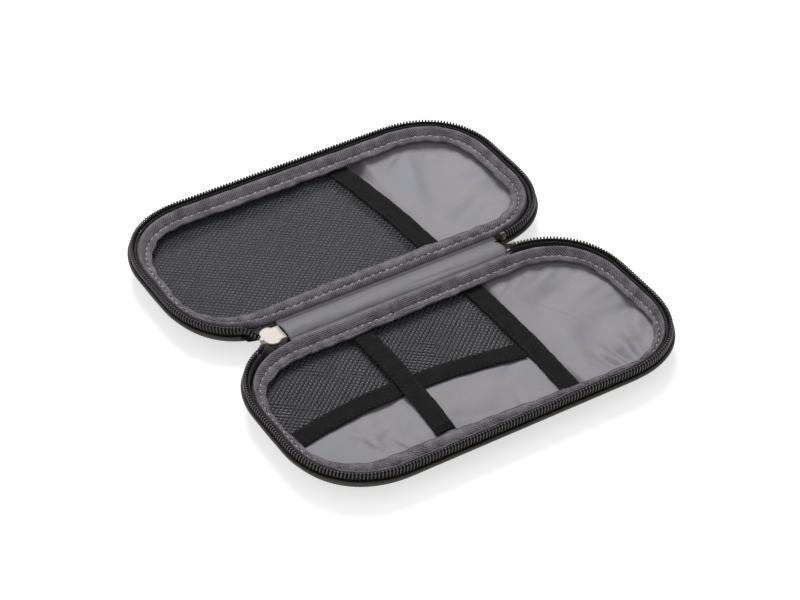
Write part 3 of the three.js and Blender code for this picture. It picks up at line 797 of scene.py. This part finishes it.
def ribbon_height(u, along, measures, seed):
    """Height of the ribbon over its width u, with the stitch line at u = v.

    The outer puff is crest |sin(pi (u / v)^0.75)|^1.15 above a line from the side to the valley,
    and the inner one swell |sin(pi w^0.9)|^1.1 above a curve from the valley to the inner edge,
    with w = (u - v) / (1 - v).
    """
    _, _, v, crest, swell, edge = measures
    slow = slow_waves(along, (0.031, 0.0187, 0.0111), seed)
    first = np.clip(u / v, 0, 1)
    w = np.clip((u - v) / (1 - v), 0, 1)
    base = border_side + (border_valley - border_side) * first + (edge - border_valley) * w ** 1.6
    outer = (crest - (border_side + border_valley) / 2) * (1 + 0.1 * slow)
    outer = outer * np.abs(np.sin(np.pi * first ** 0.75)) ** 1.15
    inner = swell * np.abs(np.sin(np.pi * w ** 0.9)) ** 1.1 * (1 - 0.3 * slow)
    beat = along / stitch_pitch
    pucker = 0.00022 * np.cos(2 * np.pi * beat + 0.6 * slow) + 0.00012 * np.cos(np.pi * beat + 1)
    stitched = pucker * bell(u - v, 0.15) - 0.0004 * bell(u - v, 0.035)
    rolled = 0.00025 * bell(u - 0.955, 0.02) - 0.0002 * bell(u - 0.9, 0.02)
    return base + outer + inner + stitched + rolled


def ribbon_place(half, u, along, measures, seed):
    """Inset and hinge inset of the ribbon at u: its inner edge waves in and out."""
    inner, hinge_inner = measures[:2]
    start = hinge_border_inset[half]
    wave = slow_waves(along, (0.027, 0.0163, 0.0091), seed + 5)
    shift = 0.0006 * wave * np.clip((u - 0.5) / 0.5, 0, 1) ** 2
    shift = shift - 0.0002 * np.clip((u - 0.8) / 0.2, 0, 1)
    outward = border_inset + (inner - border_inset) * u + shift
    return outward, start + (hinge_inner - start) * u + shift


def dashes(name, path, across, rise, count, share, radius, material, body, slot):
    """Stitches as count short threads along a path, each share of its pitch long, rise above it.

    path gives the place and across the sideways direction, as functions of 0 to 1. Each thread
    is a tube of radius (1 - |2t|^6)^(1/2) whose ends go down into the cloth.
    """
    step, ring = np.linspace(-0.5, 0.5, 7)[:, None], full_circle(6)
    where = (np.arange(count)[:, None, None] + 0.5 + share * step + 0 * ring) / count
    wide = np.sqrt(np.maximum(1 - (2 * step) ** 6, 0.15))
    sink = 1.6 * radius * (2 * step) ** 4
    points = path(where) + across(where) * (radius * wide * np.cos(ring))[None, :, :, None]
    points[..., 2] += rise + radius * 0.6 * wide * np.sin(ring) - sink
    faces = (tube_faces(7, 6) + 42 * np.arange(count)[:, None, None]).reshape(-1, 4)
    weave = np.stack([where * count * 0.003, 0.0002 * ring + 0 * where], -1)
    make_piece(name, points, facing_out(points, faces), material, body, slot, [], weave)


for half, side in halves:
    turns, length = even_turns(0.0085, 0, 8, 961)
    seed = 3 + side
    stitch_count = int(round(length / stitch_pitch))
    along = (np.linspace(0, 1, 961)[:-1] * stitch_count * stitch_pitch)[:, None]
    measures = [m[:, None] for m in around(half, turns[:-1])]
    top, under = np.linspace(0, 1, 41), np.array([1, 0.97, 0.7, 0.35, 0.03, 0])
    u = np.concatenate([top, under])
    inset, hinge = ribbon_place(half, u, along, measures, seed)
    height = ribbon_height(u, along, measures, seed)
    hanging = np.minimum(measures[5] - 0.0009 - border_foot, 0)
    foot = border_foot + hanging * np.clip((under - 0.2) / 0.7, 0, 1) + [0.0007, 0, 0, 0, 0, 0.0009]
    height[:, 41:] = np.minimum(foot, height[:, 41:] - 0.0002)
    plan = rim(side, inset, np.broadcast_to(turns[:-1, None], inset.shape), hinge)
    past_join = plan[..., 0] - join_x + join_slant * u
    under_lap = (u > 0.02) * bell(past_join, 0.0010)
    over_lap = np.clip(past_join / 0.0006, 0, 1) * np.exp(-np.maximum(past_join, 0) / 0.006)
    lap = (half == "base") * (turns[:-1, None] > 7) * (0.0006 * over_lap - 0.0014 * under_lap)
    height[:, :41] += lap[:, :41] * np.sin(np.pi * np.clip(top, 0.06, 0.94)) ** 0.3
    border = lifted(plan, height)
    across = path_lengths(border, 1)
    weave = np.stack([np.broadcast_to(along, across.shape), across], -1)
    faces = facing_out(border, grid_faces(*border.shape[:2], True, True))
    puffed = make_piece(f"{half}_border_ribbon", border, faces, ribbon, half, "border_ribbon",
                        [f"{half}_border"], weave)

    def stitch_path(where, off=0.0):
        """Points on the stitch line, or beside it by a share off of the ribbon's width."""
        turn = np.interp(where, np.linspace(0, 1, 961), turns)
        at = around(half, turn)
        u, far = at[2] + 0.035 + off, where * stitch_count * stitch_pitch
        inset, hinge = ribbon_place(half, u, far, at, seed)
        return lifted(rim(side, inset, turn, hinge), ribbon_height(at[2] + off, far, at, seed))

    def stitch_across(where):
        """The level direction across the ribbon."""
        way = stitch_path(where, 0.02) - stitch_path(where)
        return unit(way * [1, 1, 0])

    dashes(f"{half}_border_stitches", stitch_path, stitch_across, 0.00058, stitch_count, 0.56,
           0.0003, thread_grey, half, "border_ribbon")


# ---- Pocket panel ----
# In the left part of the base a second sheet of satin is stretched over the lining, as the back
# pocket. It is sewn in round three sides, and its open edge lies under the wide band.

panel_height = 0.0060
panel_rows, panel_columns = 110, 190
pocket_band_width = 0.010


def points_of(x, y, z):
    """A grid of points from coordinates that are each spread over it."""
    return np.stack(np.broadcast_arrays(x, y, z), -1)


def through_three(first, middle, last):
    """The curve (1-s)(1-2s) first + 4s(1-s) middle + s(2s-1) last, for a share s of a half."""
    def line(s):
        return (1 - s) * (1 - 2 * s) * first + 4 * s * (1 - s) * middle + s * (2 * s - 1) * last
    return line


pocket_line = through_three(0.0300, 0.0318, 0.0300)
net_band_line = through_three(0.0609, 0.0552, 0.0863)
strap_line = through_three(-0.0292, -0.0280, -0.0320)


def width_share(y):
    """Share of a half's width, from the hinge, at y."""
    return (np.abs(y) - hinge_line) / half_width


def net_band_y(x):
    """Distance of the lower band's middle line from the case's, at x."""
    return hinge_line + net_band_line(x / case_length + 0.5)


def wall_inset(height):
    """Inset at which the lining's wall reaches a height, where a pocket's edge is sewn to it."""
    share = (lining_top - height) / (lining_top - tray_floor)
    return border_inset + 0.0009 + lining_run * (1 - np.sqrt(1 - share ** 2))


def left_edge(inset, y):
    """How far left the outline drawn in by inset reaches at y."""
    edge = rim(1, inset, np.linspace(0.0001, 2.9999, 600))
    return np.interp(y, edge[:, 1], edge[:, 0])


panel_folds = (
    (-59, -80, 70, 9, 2.2, 0.5), (-46, -69, 25, 14, 3.5, -0.6), (-30, -82, 20, 18, 4, 0.5),
    (-50, -86, 110, 6, 1.4, -0.8), (-57.8, -80.2, 106, 6, 1.8, 0.8), (-53.5, -74.1, 21, 8, 2, 0.8),
    (-61.5, -71.8, 120, 6, 2.2, 0.6), (-44, -61.5, 20, 6, 2.5, -0.9), (-42.7, -76, 60, 5, 3, 0.4),
    (-62, -72, 60, 8, 2.5, -0.4), (0, -78, 15, 20, 5, 0.4), (8, -90, 80, 7, 2, -0.5),
    (14, -70, 40, 10, 3, -0.4), (-12, -86, 160, 14, 3, -0.4), (-40, -90, 95, 6, 1.8, 0.45))
inset = wall_inset(panel_height - 0.0003)
near, far = hinge_line + inset, hinge_line + half_width - inset
y = near + (far - near) * (1 - np.cos(np.pi * np.linspace(0.02, 0.98, panel_rows))) / 2
left, right = left_edge(inset, y)[:, None], pocket_line(width_share(y))[:, None] - 0.002
x, y = left + (right - left) * np.linspace(0, 1, panel_columns), -y[:, None]
past_band = -y - net_band_y(x)
beyond = np.clip((past_band - 0.0055) / 0.008, 0, 1)
by_strap = bell(x - strap_line(width_share(y)), 0.011)
raised = 0.0010 * eased((past_band - 0.001) / 0.005) + 0.0009 * eased(beyond) * by_strap
swell = soft_waves(x, y, 21, 0.05, 0.00022) + single_folds(x, y, panel_folds)
swell = np.clip(swell, -0.0007, 0.0002 + 0.0006 * beyond)
panel = points_of(x, y, panel_height + 0.0002 + raised + swell)
quads = grid_faces(panel_rows, panel_columns, False, False)
back_pocket = sheet_piece("base_pocket_sheet", panel, quads, satin_thickness,
                          satin, "base", "lining_satin", ["base_pocket_panel"])


# ---- Mesh pockets ----
# Black knitted net with rounded diamond holes is stretched over the pockets and sewn in round
# their edges. Its strands are round, and thicker where they cross.

net_height = 0.0069
net_step_x = 0.0030
net_step_y = 0.00122

net_yarn = woven_cloth("net_yarn", (0.024, 0.024, 0.028), (0.095, 0.095, 0.110),
                       0.00018, 0.00004, 0.6)


def net_cells(inset, right_x, far_y):
    """Middles of the cells inside the pocket, in rows that are each half a step further on."""
    rows, columns = np.meshgrid(np.arange(0, 120), np.arange(-45, 45), indexing="ij")
    x = net_step_x * (columns + 0.5 * (rows % 2))
    y = hinge_line + net_step_y * rows
    near, far = hinge_line + inset + net_step_y, hinge_line + half_width - inset - net_step_y
    kept = (y > near) & (y < far) & (y < far_y(x))
    kept &= (x > left_edge(inset, y) + 0.6 * net_step_x) & (x < right_x(width_share(y)))
    return x[kept], y[kept]


def net_mesh(name, side, centre_x, centre_y, replaced, seed):
    """Diamonds with rounder holes: quads from the strand's top to the hole's edge to its foot."""
    corner = np.array([[2, 0], [1, 1], [0, 2], [-1, 1], [-2, 0], [-1, -1], [0, -2], [1, -1]]) / 2
    strand = np.abs(corner[:, 0]) == 0.5
    shrink = np.where(strand, 0.64, 0.53)[:, None]
    size = np.array([net_step_x / 2, net_step_y])
    middle = np.stack([centre_x, centre_y], -1)[:, None, :]
    one_way, other_way = middle[..., 0] + middle[..., 1], middle[..., 0] - middle[..., 1]
    stretch = 0.00016 * np.stack([slow_waves(one_way, (0.013, 0.0071), seed),
                                  slow_waves(other_way, (0.011, 0.0083), seed + 1)], -1)
    outer, inner = middle + corner * size, middle + corner * shrink * size + stretch
    knot = np.where(strand, 0.00016, 0.00026)
    x, y = np.moveaxis(np.concatenate([outer, inner, outer], 1) * [1, side], -1, 0)
    wave = np.clip(soft_waves(x, y, seed, 0.06, 0.0003), -0.0003, 0.0004)
    points = points_of(x, y, net_height + wave + np.concatenate([knot, np.zeros(8), -knot]))
    j = np.arange(8)
    ring = np.stack([j, (j + 1) % 8, (j + 1) % 8 + 8, j + 8], -1)
    cell = np.concatenate([ring, ring + 8])
    faces = (cell + 24 * np.arange(len(centre_x))[:, None, None]).reshape(-1, 4)
    flat = points.reshape(-1, 3)
    _, first, same = np.unique(np.round(flat * 1e7).astype(np.int64), axis=0,
                               return_index=True, return_inverse=True)
    flat, faces = flat[first], same.reshape(-1)[faces]
    return make_piece(name, flat, facing_out(flat, faces), net_yarn,
                      "base" if side < 0 else "lid", "net_black", replaced, flat[:, :2])


lid_band_line = through_three(0.0310, 0.0288, 0.0217)
net_inset = wall_inset(net_height - 0.0003)
base_x, base_y = net_cells(net_inset, lambda s: pocket_line(s) - 0.003,
                           lambda x: net_band_y(x) - 0.002)
base_net = net_mesh("base_pocket_net", -1, base_x, base_y, ["base_mesh_net"], 31)
lid_x, lid_y = net_cells(net_inset, lambda s: lid_band_line(s) - 0.003, lambda x: half_width)
lid_net = net_mesh("lid_pocket_net", 1, lid_x, lid_y, ["lid_mesh_net"], 37)


# ---- Pocket bands and strap ----
# The pockets' free edges are bound with matt black woven band, folded double and sewn near both
# edges. An elastic strap crosses the base's pockets, and ends in a bar tack on the far side.

band_height, band_thickness = 0.0080, 0.00098
lid_band_width, net_band_width = 0.0106, 0.0103
strap_width, strap_height, strap_thickness = 0.0100, 0.00915, 0.00068
tack_inset, tack_half_length, tack_half_width = 0.0178, 0.0021, 0.0045
tack_height, tack_thickness = 0.00953, 0.00012
edge_to_seam = 0.0012
fold_edge = -0.58

band_cloth = ribbed_ribbon("band_elastic", (0.0055, 0.0055, 0.0058), (0.018, 0.0175, 0.018),
                           0.0006, 0.00004, 0.9, 0.12)
thread_black = woven_cloth("band_thread", (0.008, 0.008, 0.008), (0.06, 0.06, 0.062),
                           0.0002, 0.00004, 0.5)


def band(name, body, replaced, centre, way, width, height, thickness, seed, folded=None):
    """A flat band along a middle line, of slowly drifting width, with a seam near each edge.

    Over t from -1 to 1, across it, the top is thickness / 2 (1 - |t|^10)^(1/2), less a groove at
    each seam and at the folded edge.
    """
    run = np.linspace(0, 1, len(centre))[:, None]
    drift = slow_waves(run, (1.0, 0.43, 0.27, 0.11, 0.061), seed)
    edge = slow_waves(run, (0.37, 0.19, 0.083), seed + 1)
    rounded = np.cos(np.linspace(0.06, 0.5, 7))
    top = np.concatenate([-rounded, np.linspace(-0.84, 0.84, 43), rounded[::-1]])
    t = np.concatenate([top, top[::-4]])
    full = thickness / 2 * np.sqrt(np.clip(1 - np.abs(t) ** 10, 0.04, 1))
    seam = 1 - 2 * edge_to_seam / width
    grooves = sum(bell(t - at, 0.035) for at in (seam, -seam, folded or -seam))
    rise = np.where(np.arange(len(t)) < len(top), full - 0.00016 * grooves, -full)
    half = (width / 2 - 0.0002) * (1 + 0.012 * drift)
    points = centre[:, None, :] + (half * t + 0.0002 * edge)[..., None] * np.array(way)
    points[..., 2] = height + rise + 0.00008 * drift
    along = path_lengths(points[:, :1], 0)
    weave = np.stack(np.broadcast_arrays(along, path_lengths(points, 1)), -1)
    tube(name, points, band_cloth, body, "band_black", replaced, weave)
    upper = points[:, :len(top)]
    across = upper[:, -1] - upper[:, 0]
    sideways = unit(across)

    def follow(lines):
        """A function that reads the lines from 3 to 97 per cent of their length."""
        return lambda where: np.stack(
            [np.interp(0.03 + 0.94 * where, run[:, 0], column) for column in lines.T], -1)

    for hand, edge_name in ((-1, "low"), (1, "high")):
        line = upper.mean(1) + across / 2 * hand * seam
        line[:, 2] = upper[:, len(top) // 2, 2]
        dashes(f"{name}_stitches_{edge_name}", follow(line), follow(sideways), -0.00002,
               int(along[-1, 0] / 0.0029), 0.6, 0.00013, thread_black, body, "band_black")


def crossing(side, line, inset):
    """Middle line of a band from the hinge side to the far side, along x = line(share)."""
    y = np.linspace(hinge_line + inset, hinge_line + half_width - inset, 90)
    return points_of(line(width_share(y)), side * y, 0)


end_inset = wall_inset(band_height - 0.0005)
band("base_wide_band", "base", ["base_pocket_band"], crossing(-1, pocket_line, end_inset),
     (1, 0, 0), pocket_band_width, band_height, band_thickness, 41, fold_edge)
band("lid_wide_band", "lid", ["lid_mesh_band"], crossing(1, lid_band_line, end_inset),
     (1, 0, 0), lid_band_width, band_height, band_thickness, 43, fold_edge)
right_end = pocket_line(0.75) - pocket_band_width / 2 - 0.00015
x = np.linspace(end_inset - case_length / 2, right_end, 90)
band("base_lower_band", "base", ["base_mesh_band"], points_of(x, -net_band_y(x), 0),
     (0, 1, 0), net_band_width, band_height, band_thickness, 47)
band("base_strap", "base", ["base_elastic_strap"], crossing(-1, strap_line, wall_inset(0.0088)),
     (1, 0, 0), strap_width, strap_height, strap_thickness, 53)

y = tack_inset - hinge_line - half_width
y = y + np.linspace(-tack_half_length, tack_half_length, 85)[:, None]
t = np.linspace(-1, 1, 21)
ribs = 0.00026 * np.abs(np.sin(np.pi * (y / 0.0009 + 0.3 * t))) * np.sqrt(1 - t ** 8)
tack = points_of(strap_line(width_share(y)) + tack_half_width * t, y, tack_height + ribs)
tack = np.concatenate([tack[:1] - [0, 0, 0.0003], tack, tack[-1:] - [0, 0, 0.0003]])
sheet_piece("strap_bar_tack", tack, grid_faces(*tack.shape[:2], False, False), tack_thickness,
            band_cloth, "base", "band_black", [])


# ---- Spine ----
# The two halves are joined by a strip of the shell's cloth outside and a wider, arched strip of
# satin inside: the lining's satin, darkened as painted shade for the hinge's valley.
# Both are sewn to the halves' hinge edges.

spine_left = -0.0532
spine_end = 0.0575
spine_half = 0.0054
cover_height, cover_half_thickness = 0.00925, 0.00034
satin_edge, satin_foot, satin_arch = 0.00525, 0.01075, 0.00125
tape_end_height = 0.0098

x = np.linspace(spine_left, spine_end, 70)[:, None]
across, up = rounded_section(28, 0.4, 0.5)
thick = cover_half_thickness * (1 - 0.06 * (1 + np.sin(x / 0.004)))
tube("spine_outer_cloth", points_of(x, spine_half * across, cover_height + thick * up),
     shell_cloth, "spine", "shell_fabric", ["spine_cover"])

x = np.linspace(spine_end - 0.0020, spine_end + 0.0050, 48)[:, None]
far = np.clip((x - spine_end - 0.0030) / 0.0020, 0, 0.995)
beside = np.clip((spine_end + 0.0008 - x) / 0.0006, 0, 1)
y = (0.0018 * np.sqrt(1 - far ** 2) + 0.0034 * beside) * across
z = tape_end_height + 0.00022 * up + 0.00006 * np.sin(x / 0.0009)
tube("spine_end_tape", points_of(x, y, z), tape_cloth, "spine", "zipper_tape", [])

# Painted shade: the lining's two tints darkened to about 0.69 for the shade in the hinge's valley.
# The hinge strips use it too.
spine_satin_painted_shade = satin_cloth("spine_satin_painted_shade", (0.160, 0.160, 0.182),
                                (0.184, 0.168, 0.178), 0.0005)


def two_sided(top):
    """A grid's points and, in the same rows, its underside 0.35 mm lower."""
    return np.concatenate([top, top[:, ::-1] - [0, 0, 0.00035]], 1)


def satin_strip(name, top, body, replaced):
    """A strip of satin along the hinge, from a grid of its top, in the satin darkened as painted
    shade.
    """
    grid = two_sided(top)
    weave = np.stack([path_lengths(grid, 1), grid[..., 0]], -1)
    return tube(name, grid, spine_satin_painted_shade, body, "lining_satin", replaced, weave)


spine_creases = ((-20, 2.5, 2, 16, 0.7, -0.25), (22, -2.5, -2, 18, 0.8, -0.2),
                 (44, 1.5, 4, 9, 0.9, 0.2), (-47, -1, 8, 7, 0.8, 0.2))
x = np.linspace(-spine_end, spine_end, 150)[:, None]
round_end = np.sqrt(np.clip(1 - np.clip((x - spine_end + 0.003) / 0.0032, 0, 1) ** 2, 0.02, 1))
share = np.linspace(-1, 1, 29)
crease = soft_waves(x, share * 0.004, 61, 0.034, 0.00025)
crease = np.clip(crease + single_folds(x, share * 0.005, spine_creases), -0.0004, 0.0003)
z = satin_foot + satin_arch * (1 - share ** 2) ** 0.8 * round_end + crease * (1 - share ** 6)
arched = points_of(x, satin_edge * share * round_end, z)
arch = satin_strip("spine_satin", arched, "spine", ["spine_lining"])

for half, side in halves:
    t = np.linspace(0, 1, 17)
    reach = hinge_line + hinge_border_inset[half] - 0.0001 - satin_edge
    y = side * (satin_edge + 0.00005 + reach * t)
    ripple = 0.0001 * slow_waves(x, (0.017, 0.0093, 0.0061), 71 + side) * np.sin(np.pi * t)
    dip = 0.0004 * np.sin(np.pi * np.clip(t / 0.7, 0, 1)) - 0.0006 * t ** 3
    bend = (half, "spine", (0, side * 0.0080, 0.0106), (0, side * 0.0055, 0.0106))
    satin_strip(f"{half}_hinge_satin", points_of(x, y, 0.0107 - dip + ripple), bend, [])


# ---- Zipper's closed end ----
# At the left the two rows leave the halves, turn flat and run into the slider. Behind it lie a
# few closed teeth and a folded nylon stop, and black tape fills the gaps beside both ends.

slider_right = -0.0584
slider_left = -0.0683
fold_height = 0.0096
teeth_left, teeth_right, teeth_half_width, teeth_half_height = -0.0635, -0.0569, 0.0025, 0.00088
folded_middle, folded_half_length = -0.0550, 0.00148
folded_half_width, folded_half_height = 0.00218, 0.00108


def curve(points, count):
    """A cubic Bezier curve from its four control points."""
    p = np.asarray(points, float)
    t = np.linspace(0, 1, count)[:, None]
    s = 1 - t
    return s ** 3 * p[0] + 3 * t * s ** 2 * p[1] + 3 * t ** 2 * s * p[2] + t ** 3 * p[3]


def lead_in(side, count):
    """A row's way from its half into the slider, with its inward and upward directions.

    The way is a Bezier curve, and the two directions turn a quarter round it, as 3t^2 - 2t^3.
    """
    start = turn_at(coil_middle, zipper_left)
    here, ahead = rim(side, coil_middle, np.array([start, start + 0.01]))
    first = np.array([*here, coil_centre])
    away = unit(np.array([*(here - ahead), 0]))
    last = np.array([slider_left + 0.0019, side * 0.0030, fold_height])
    into = np.array([1, -0.15 * side, 0])
    way = curve([first, first + away * 0.0035, last - into * 0.0035, last], count)
    going = unit(np.gradient(way, axis=0))
    level = unit(np.cross(going, [0, 0, 1])) * -side
    upright = np.cross(level, going) * side
    upright *= np.sign(upright[:, 2:])
    turned = eased(np.linspace(0, 1, count)[:, None]) * np.pi / 2
    inward = np.cos(turned) * level + np.sin(turned) * upright
    return way, inward, np.cos(turned) * upright - np.sin(turned) * level


for half, side in halves:
    led = lead_in(side, 120)
    along = path_lengths(led[0], 0)
    bend = (half, "spine", (0, side * 0.0080, 0.0106), (0, side * 0.0045, 0.0106))

    def carried_in(place, inset, height):
        """Points at a place on the way, moved inward and upward."""
        place, inset, height = np.broadcast_arrays(place, inset, height)
        way, inward, upward = (
            np.stack([np.interp(place, along, column) for column in values.T], -1) for values in led)
        return way + inward * inset[..., None] + upward * height[..., None]

    tube(f"{half}_lead_in_teeth", carried_in(*wound(along[-1])), nylon, bend, "zipper_nylon", [])
    place = np.linspace(0.0003, along[-1] - 0.0003, 24)[:, None]
    core = carried_in(place, core_across, core_up)
    tube(f"{half}_lead_in_core", core, core_cloth, bend, "zipper_tape", [])
    t = np.linspace(0, 1, 12)
    place = np.linspace(0, along[-1], 40)[:, None]
    inset = 0.0013 - 0.00035 * place / along[-1] + np.repeat([0, 0.0003], 12)
    tape = carried_in(place, inset, 0.0003 - 0.0045 * np.append(t, t[::-1]))
    tube(f"{half}_lead_in_tape", tape, tape_cloth, bend, "zipper_tape", [])

    corner = np.linspace(0.9, 0.0, 200)
    edge = rim(1, border_inset, corner, hinge_border_inset[half])
    outline = rim(1, 0.0005, corner)
    for hand, sign, far_x in (("left", -1, 0.0703), ("right", 1, 0.0740)):
        away = np.linspace(far_x, spine_end + 0.0001, 30)[:, None]
        outer = np.interp(-away, *edge.T) - 0.0002
        inner = np.minimum(np.maximum(0.0062, np.interp(-away, *outline.T)), outer - 0.0001)
        top = 0.0093 + 0.0001 * t + 0.00005 * np.sin(away / 0.0011)
        gusset = points_of(sign * away, side * (inner + (outer - inner) * t), top)
        tube(f"{half}_tape_end_{hand}", two_sided(gusset), tape_cloth, half, "zipper_tape", [])

x = np.linspace(teeth_left, teeth_right, 60)[:, None]
across, up = rounded_section(32, 0.6, 0.7)
tooth = 1 - 0.14 * np.cos(np.pi * x / coil_pitch) ** 2
y = teeth_half_width * across * (1 - 0.03 * (1 - tooth))
height = teeth_half_height * tooth * (1 - 0.25 * bell(np.cos(full_circle(32)), 0.2))
tube("closed_teeth", points_of(x, y, fold_height + height * up), nylon, "spine",
     "zipper_nylon", ["zipper_chain_end"])

t, size = rounded_ends(13, 0.5)
across, up = rounded_section(32, 0.45, 0.5)
x, y = folded_middle + folded_half_length * t, folded_half_width * size * across
height = folded_half_height * size * (1 - 0.12 * bell(t, 0.25))
tube("folded_stop", points_of(x, y, fold_height + height * up), nylon, "spine",
     "zipper_nylon", ["zipper_bottom_stop"])


# ---- Slider ----
# The slider is die-cast and nickel plated: two shields joined by a post at the nose, and a flange
# at each side of the tail. The two rows of teeth meet in it, and a bridge below holds the tab.

tail_half, shoulder_half, nose_half = 0.0044, 0.0059, 0.0022
shield_height, channel_half_height = 0.0022, 0.0013
flange_side, flange_half = 0.0040, 0.0004
bridge_reach, bridge_half_thickness, bridge_half_width = 0.00185, 0.00033, 0.0009


def plated_metal(name, base, roughness):
    """Nickel plate: faint casting waves, fine scratches and a dulled patchy gloss."""
    made, add, drive = new_material(name, {"Metallic": 0.35})
    where = add("ShaderNodeTexCoord").outputs["Object"]
    patches = ranged(add, mottling(add, where, 500.0, 3.0), (0.25, 0.75))
    scratch = mottling(add, scaled(add, where, (1200, 9000, 3000)), 1.0, 3.0)
    drive("Base Color", tinted(add, patches, [0.92 * c for c in base], base))
    drive("Normal", relief(add, scratch, 0.08, 0.00002))
    drive("Roughness", ranged(add, scratch, target=(roughness - 0.08, roughness + 0.14)))
    return made


plated = plated_metal("slider_plate", (0.55, 0.50, 0.475), 0.55)


def joined(parts):
    """Several tubes' points and quads as one mesh's."""
    starts = np.cumsum([0] + [part.size // 3 for part in parts])
    faces = [facing_out(part, tube_faces(*part.shape[:2])) + start
             for part, start in zip(parts, starts)]
    return np.concatenate([part.reshape(-1, 3) for part in parts]), np.concatenate(faces)


def rounded_plate(x, half, bottom, top, edge=0.00022):
    """A plate with a half width for each x: its sections have round edges and are drawn in at
    both ends."""
    across, up = rounded_section(28, 0.22, 0.42)
    x = np.concatenate([[x[0], x[0] + 0.3 * edge], x[1:-1], [x[-1] - 0.3 * edge, x[-1]]])
    half = np.concatenate([[half[0], half[0]], half[1:-1], [half[-1], half[-1]]])
    thin = np.ones(len(x))
    thin[[0, -1]] = 0.62
    y = (half - edge * (1 - thin))[:, None] * across
    z = (bottom + top) / 2 + (top - bottom) / 2 * thin[:, None] * up
    return points_of(x[:, None], y, z)


def at_both_sides(plate, side_y):
    """A plate moved side_y to each side."""
    return [plate + [0, hand * side_y, 0] for hand in (-1, 1)]


shoulder_x, tail_x = slider_right - 0.0056, slider_right - 0.0021
waist_x, nose_x = (tail_x + shoulder_x) / 2, (shoulder_x + slider_left) / 2
shield = np.concatenate([
    curve([(slider_left, nose_half), (slider_left, tail_half),
           (nose_x, shoulder_half), (shoulder_x, shoulder_half)], 16),
    curve([(shoulder_x, shoulder_half), (waist_x, shoulder_half),
           (waist_x, tail_half), (tail_x, tail_half)], 12)[1:],
    [(slider_right, tail_half)],
])
shield[0, 0] += 1e-6
low, high = fold_height - shield_height, fold_height + shield_height
channel_low, channel_high = fold_height - channel_half_height, fold_height + channel_half_height
post_x = np.linspace(slider_left + 0.0002, slider_left + 0.0032, 5)
ear_x = np.linspace(slider_left - 0.0013, slider_left + 0.002, 8)
ear_half = 0.0013 - 0.0006 * np.array([1, 0.4, 0.1, 0, 0, 0, 0, 0])
flange_x = np.linspace(slider_right - 0.0042, slider_right, 5)
bridge_x = (slider_left + slider_right) / 2
sweep, ring = np.linspace(0, np.pi, 17)[:, None], full_circle(14)
bridge_out = bridge_reach + bridge_half_thickness * np.cos(ring)
parts = [
    rounded_plate(*shield.T, low, channel_low),
    rounded_plate(*shield.T, channel_high, high),
    rounded_plate(post_x, np.linspace(0.0021, 0.0011, 5), low + 0.0003, high - 0.0003),
    rounded_plate(ear_x, ear_half, channel_high, high),
    *at_both_sides(rounded_plate(flange_x, np.full(5, flange_half), low, high), flange_side),
    points_of(bridge_x + round_sign(np.cos(sweep), 0.6) * bridge_out,
              bridge_half_width * round_sign(np.sin(ring), 0.6),
              low - round_sign(np.sin(sweep), 0.6) * bridge_out),
]
points, faces = joined(parts)
make_piece("cast_slider", points, faces, plated, "slider", "slider_metal", ["zipper_slider"])


# ---- Pull tab ----
# A small plated tab hangs from the slider's bridge, under the spine, by a pin between its two
# arms. It slopes down to the table.

tab_length = 0.022
tab_half, tab_half_thickness, tip_radius = 0.003, 0.0005, 0.0022
neck_x, tip_x = 0.0059, tab_length - tip_radius
arm_side, arm_half = 0.00215, 0.00085
pin_radius, pin_half_length = 0.00046, 0.0028

pin_height = low - 0.00075
slope = np.arcsin((pin_height - tab_half_thickness - 0.0003) / tab_length)
tip = tip_x + tip_radius * np.sin(np.linspace(0, np.pi / 2, 12))
body_x = np.concatenate([[0.0029], np.linspace(0.0031, neck_x, 4), tip])
taper = (tab_half - tip_radius) * (body_x - neck_x) / (tip_x - neck_x)
round_tip = tip_radius * np.sqrt(np.clip(1 - ((body_x - tip_x) / tip_radius) ** 2, 0.0025, 1))
body_half = np.where(body_x < tip_x, tab_half - np.maximum(taper, 0), round_tip)
arm = rounded_plate(np.linspace(-0.0005, 0.0034, 6), np.full(6, arm_half),
                    -tab_half_thickness, tab_half_thickness)
pin_y = np.linspace(-pin_half_length, pin_half_length, 9)[:, None]
points, faces = joined([
    rounded_plate(body_x, body_half, -tab_half_thickness, tab_half_thickness),
    *at_both_sides(arm, arm_side),
    points_of(pin_radius * np.cos(ring), pin_y, pin_radius * np.sin(ring)),
])
x, y, z = points.T
hung = np.stack([x * np.cos(slope) + z * np.sin(slope), y,
                 z * np.cos(slope) - x * np.sin(slope)], -1) + [bridge_x, 0, pin_height]
make_piece("plated_tab", hung, faces, plated, "pull", "slider_metal", ["pull_tab"])
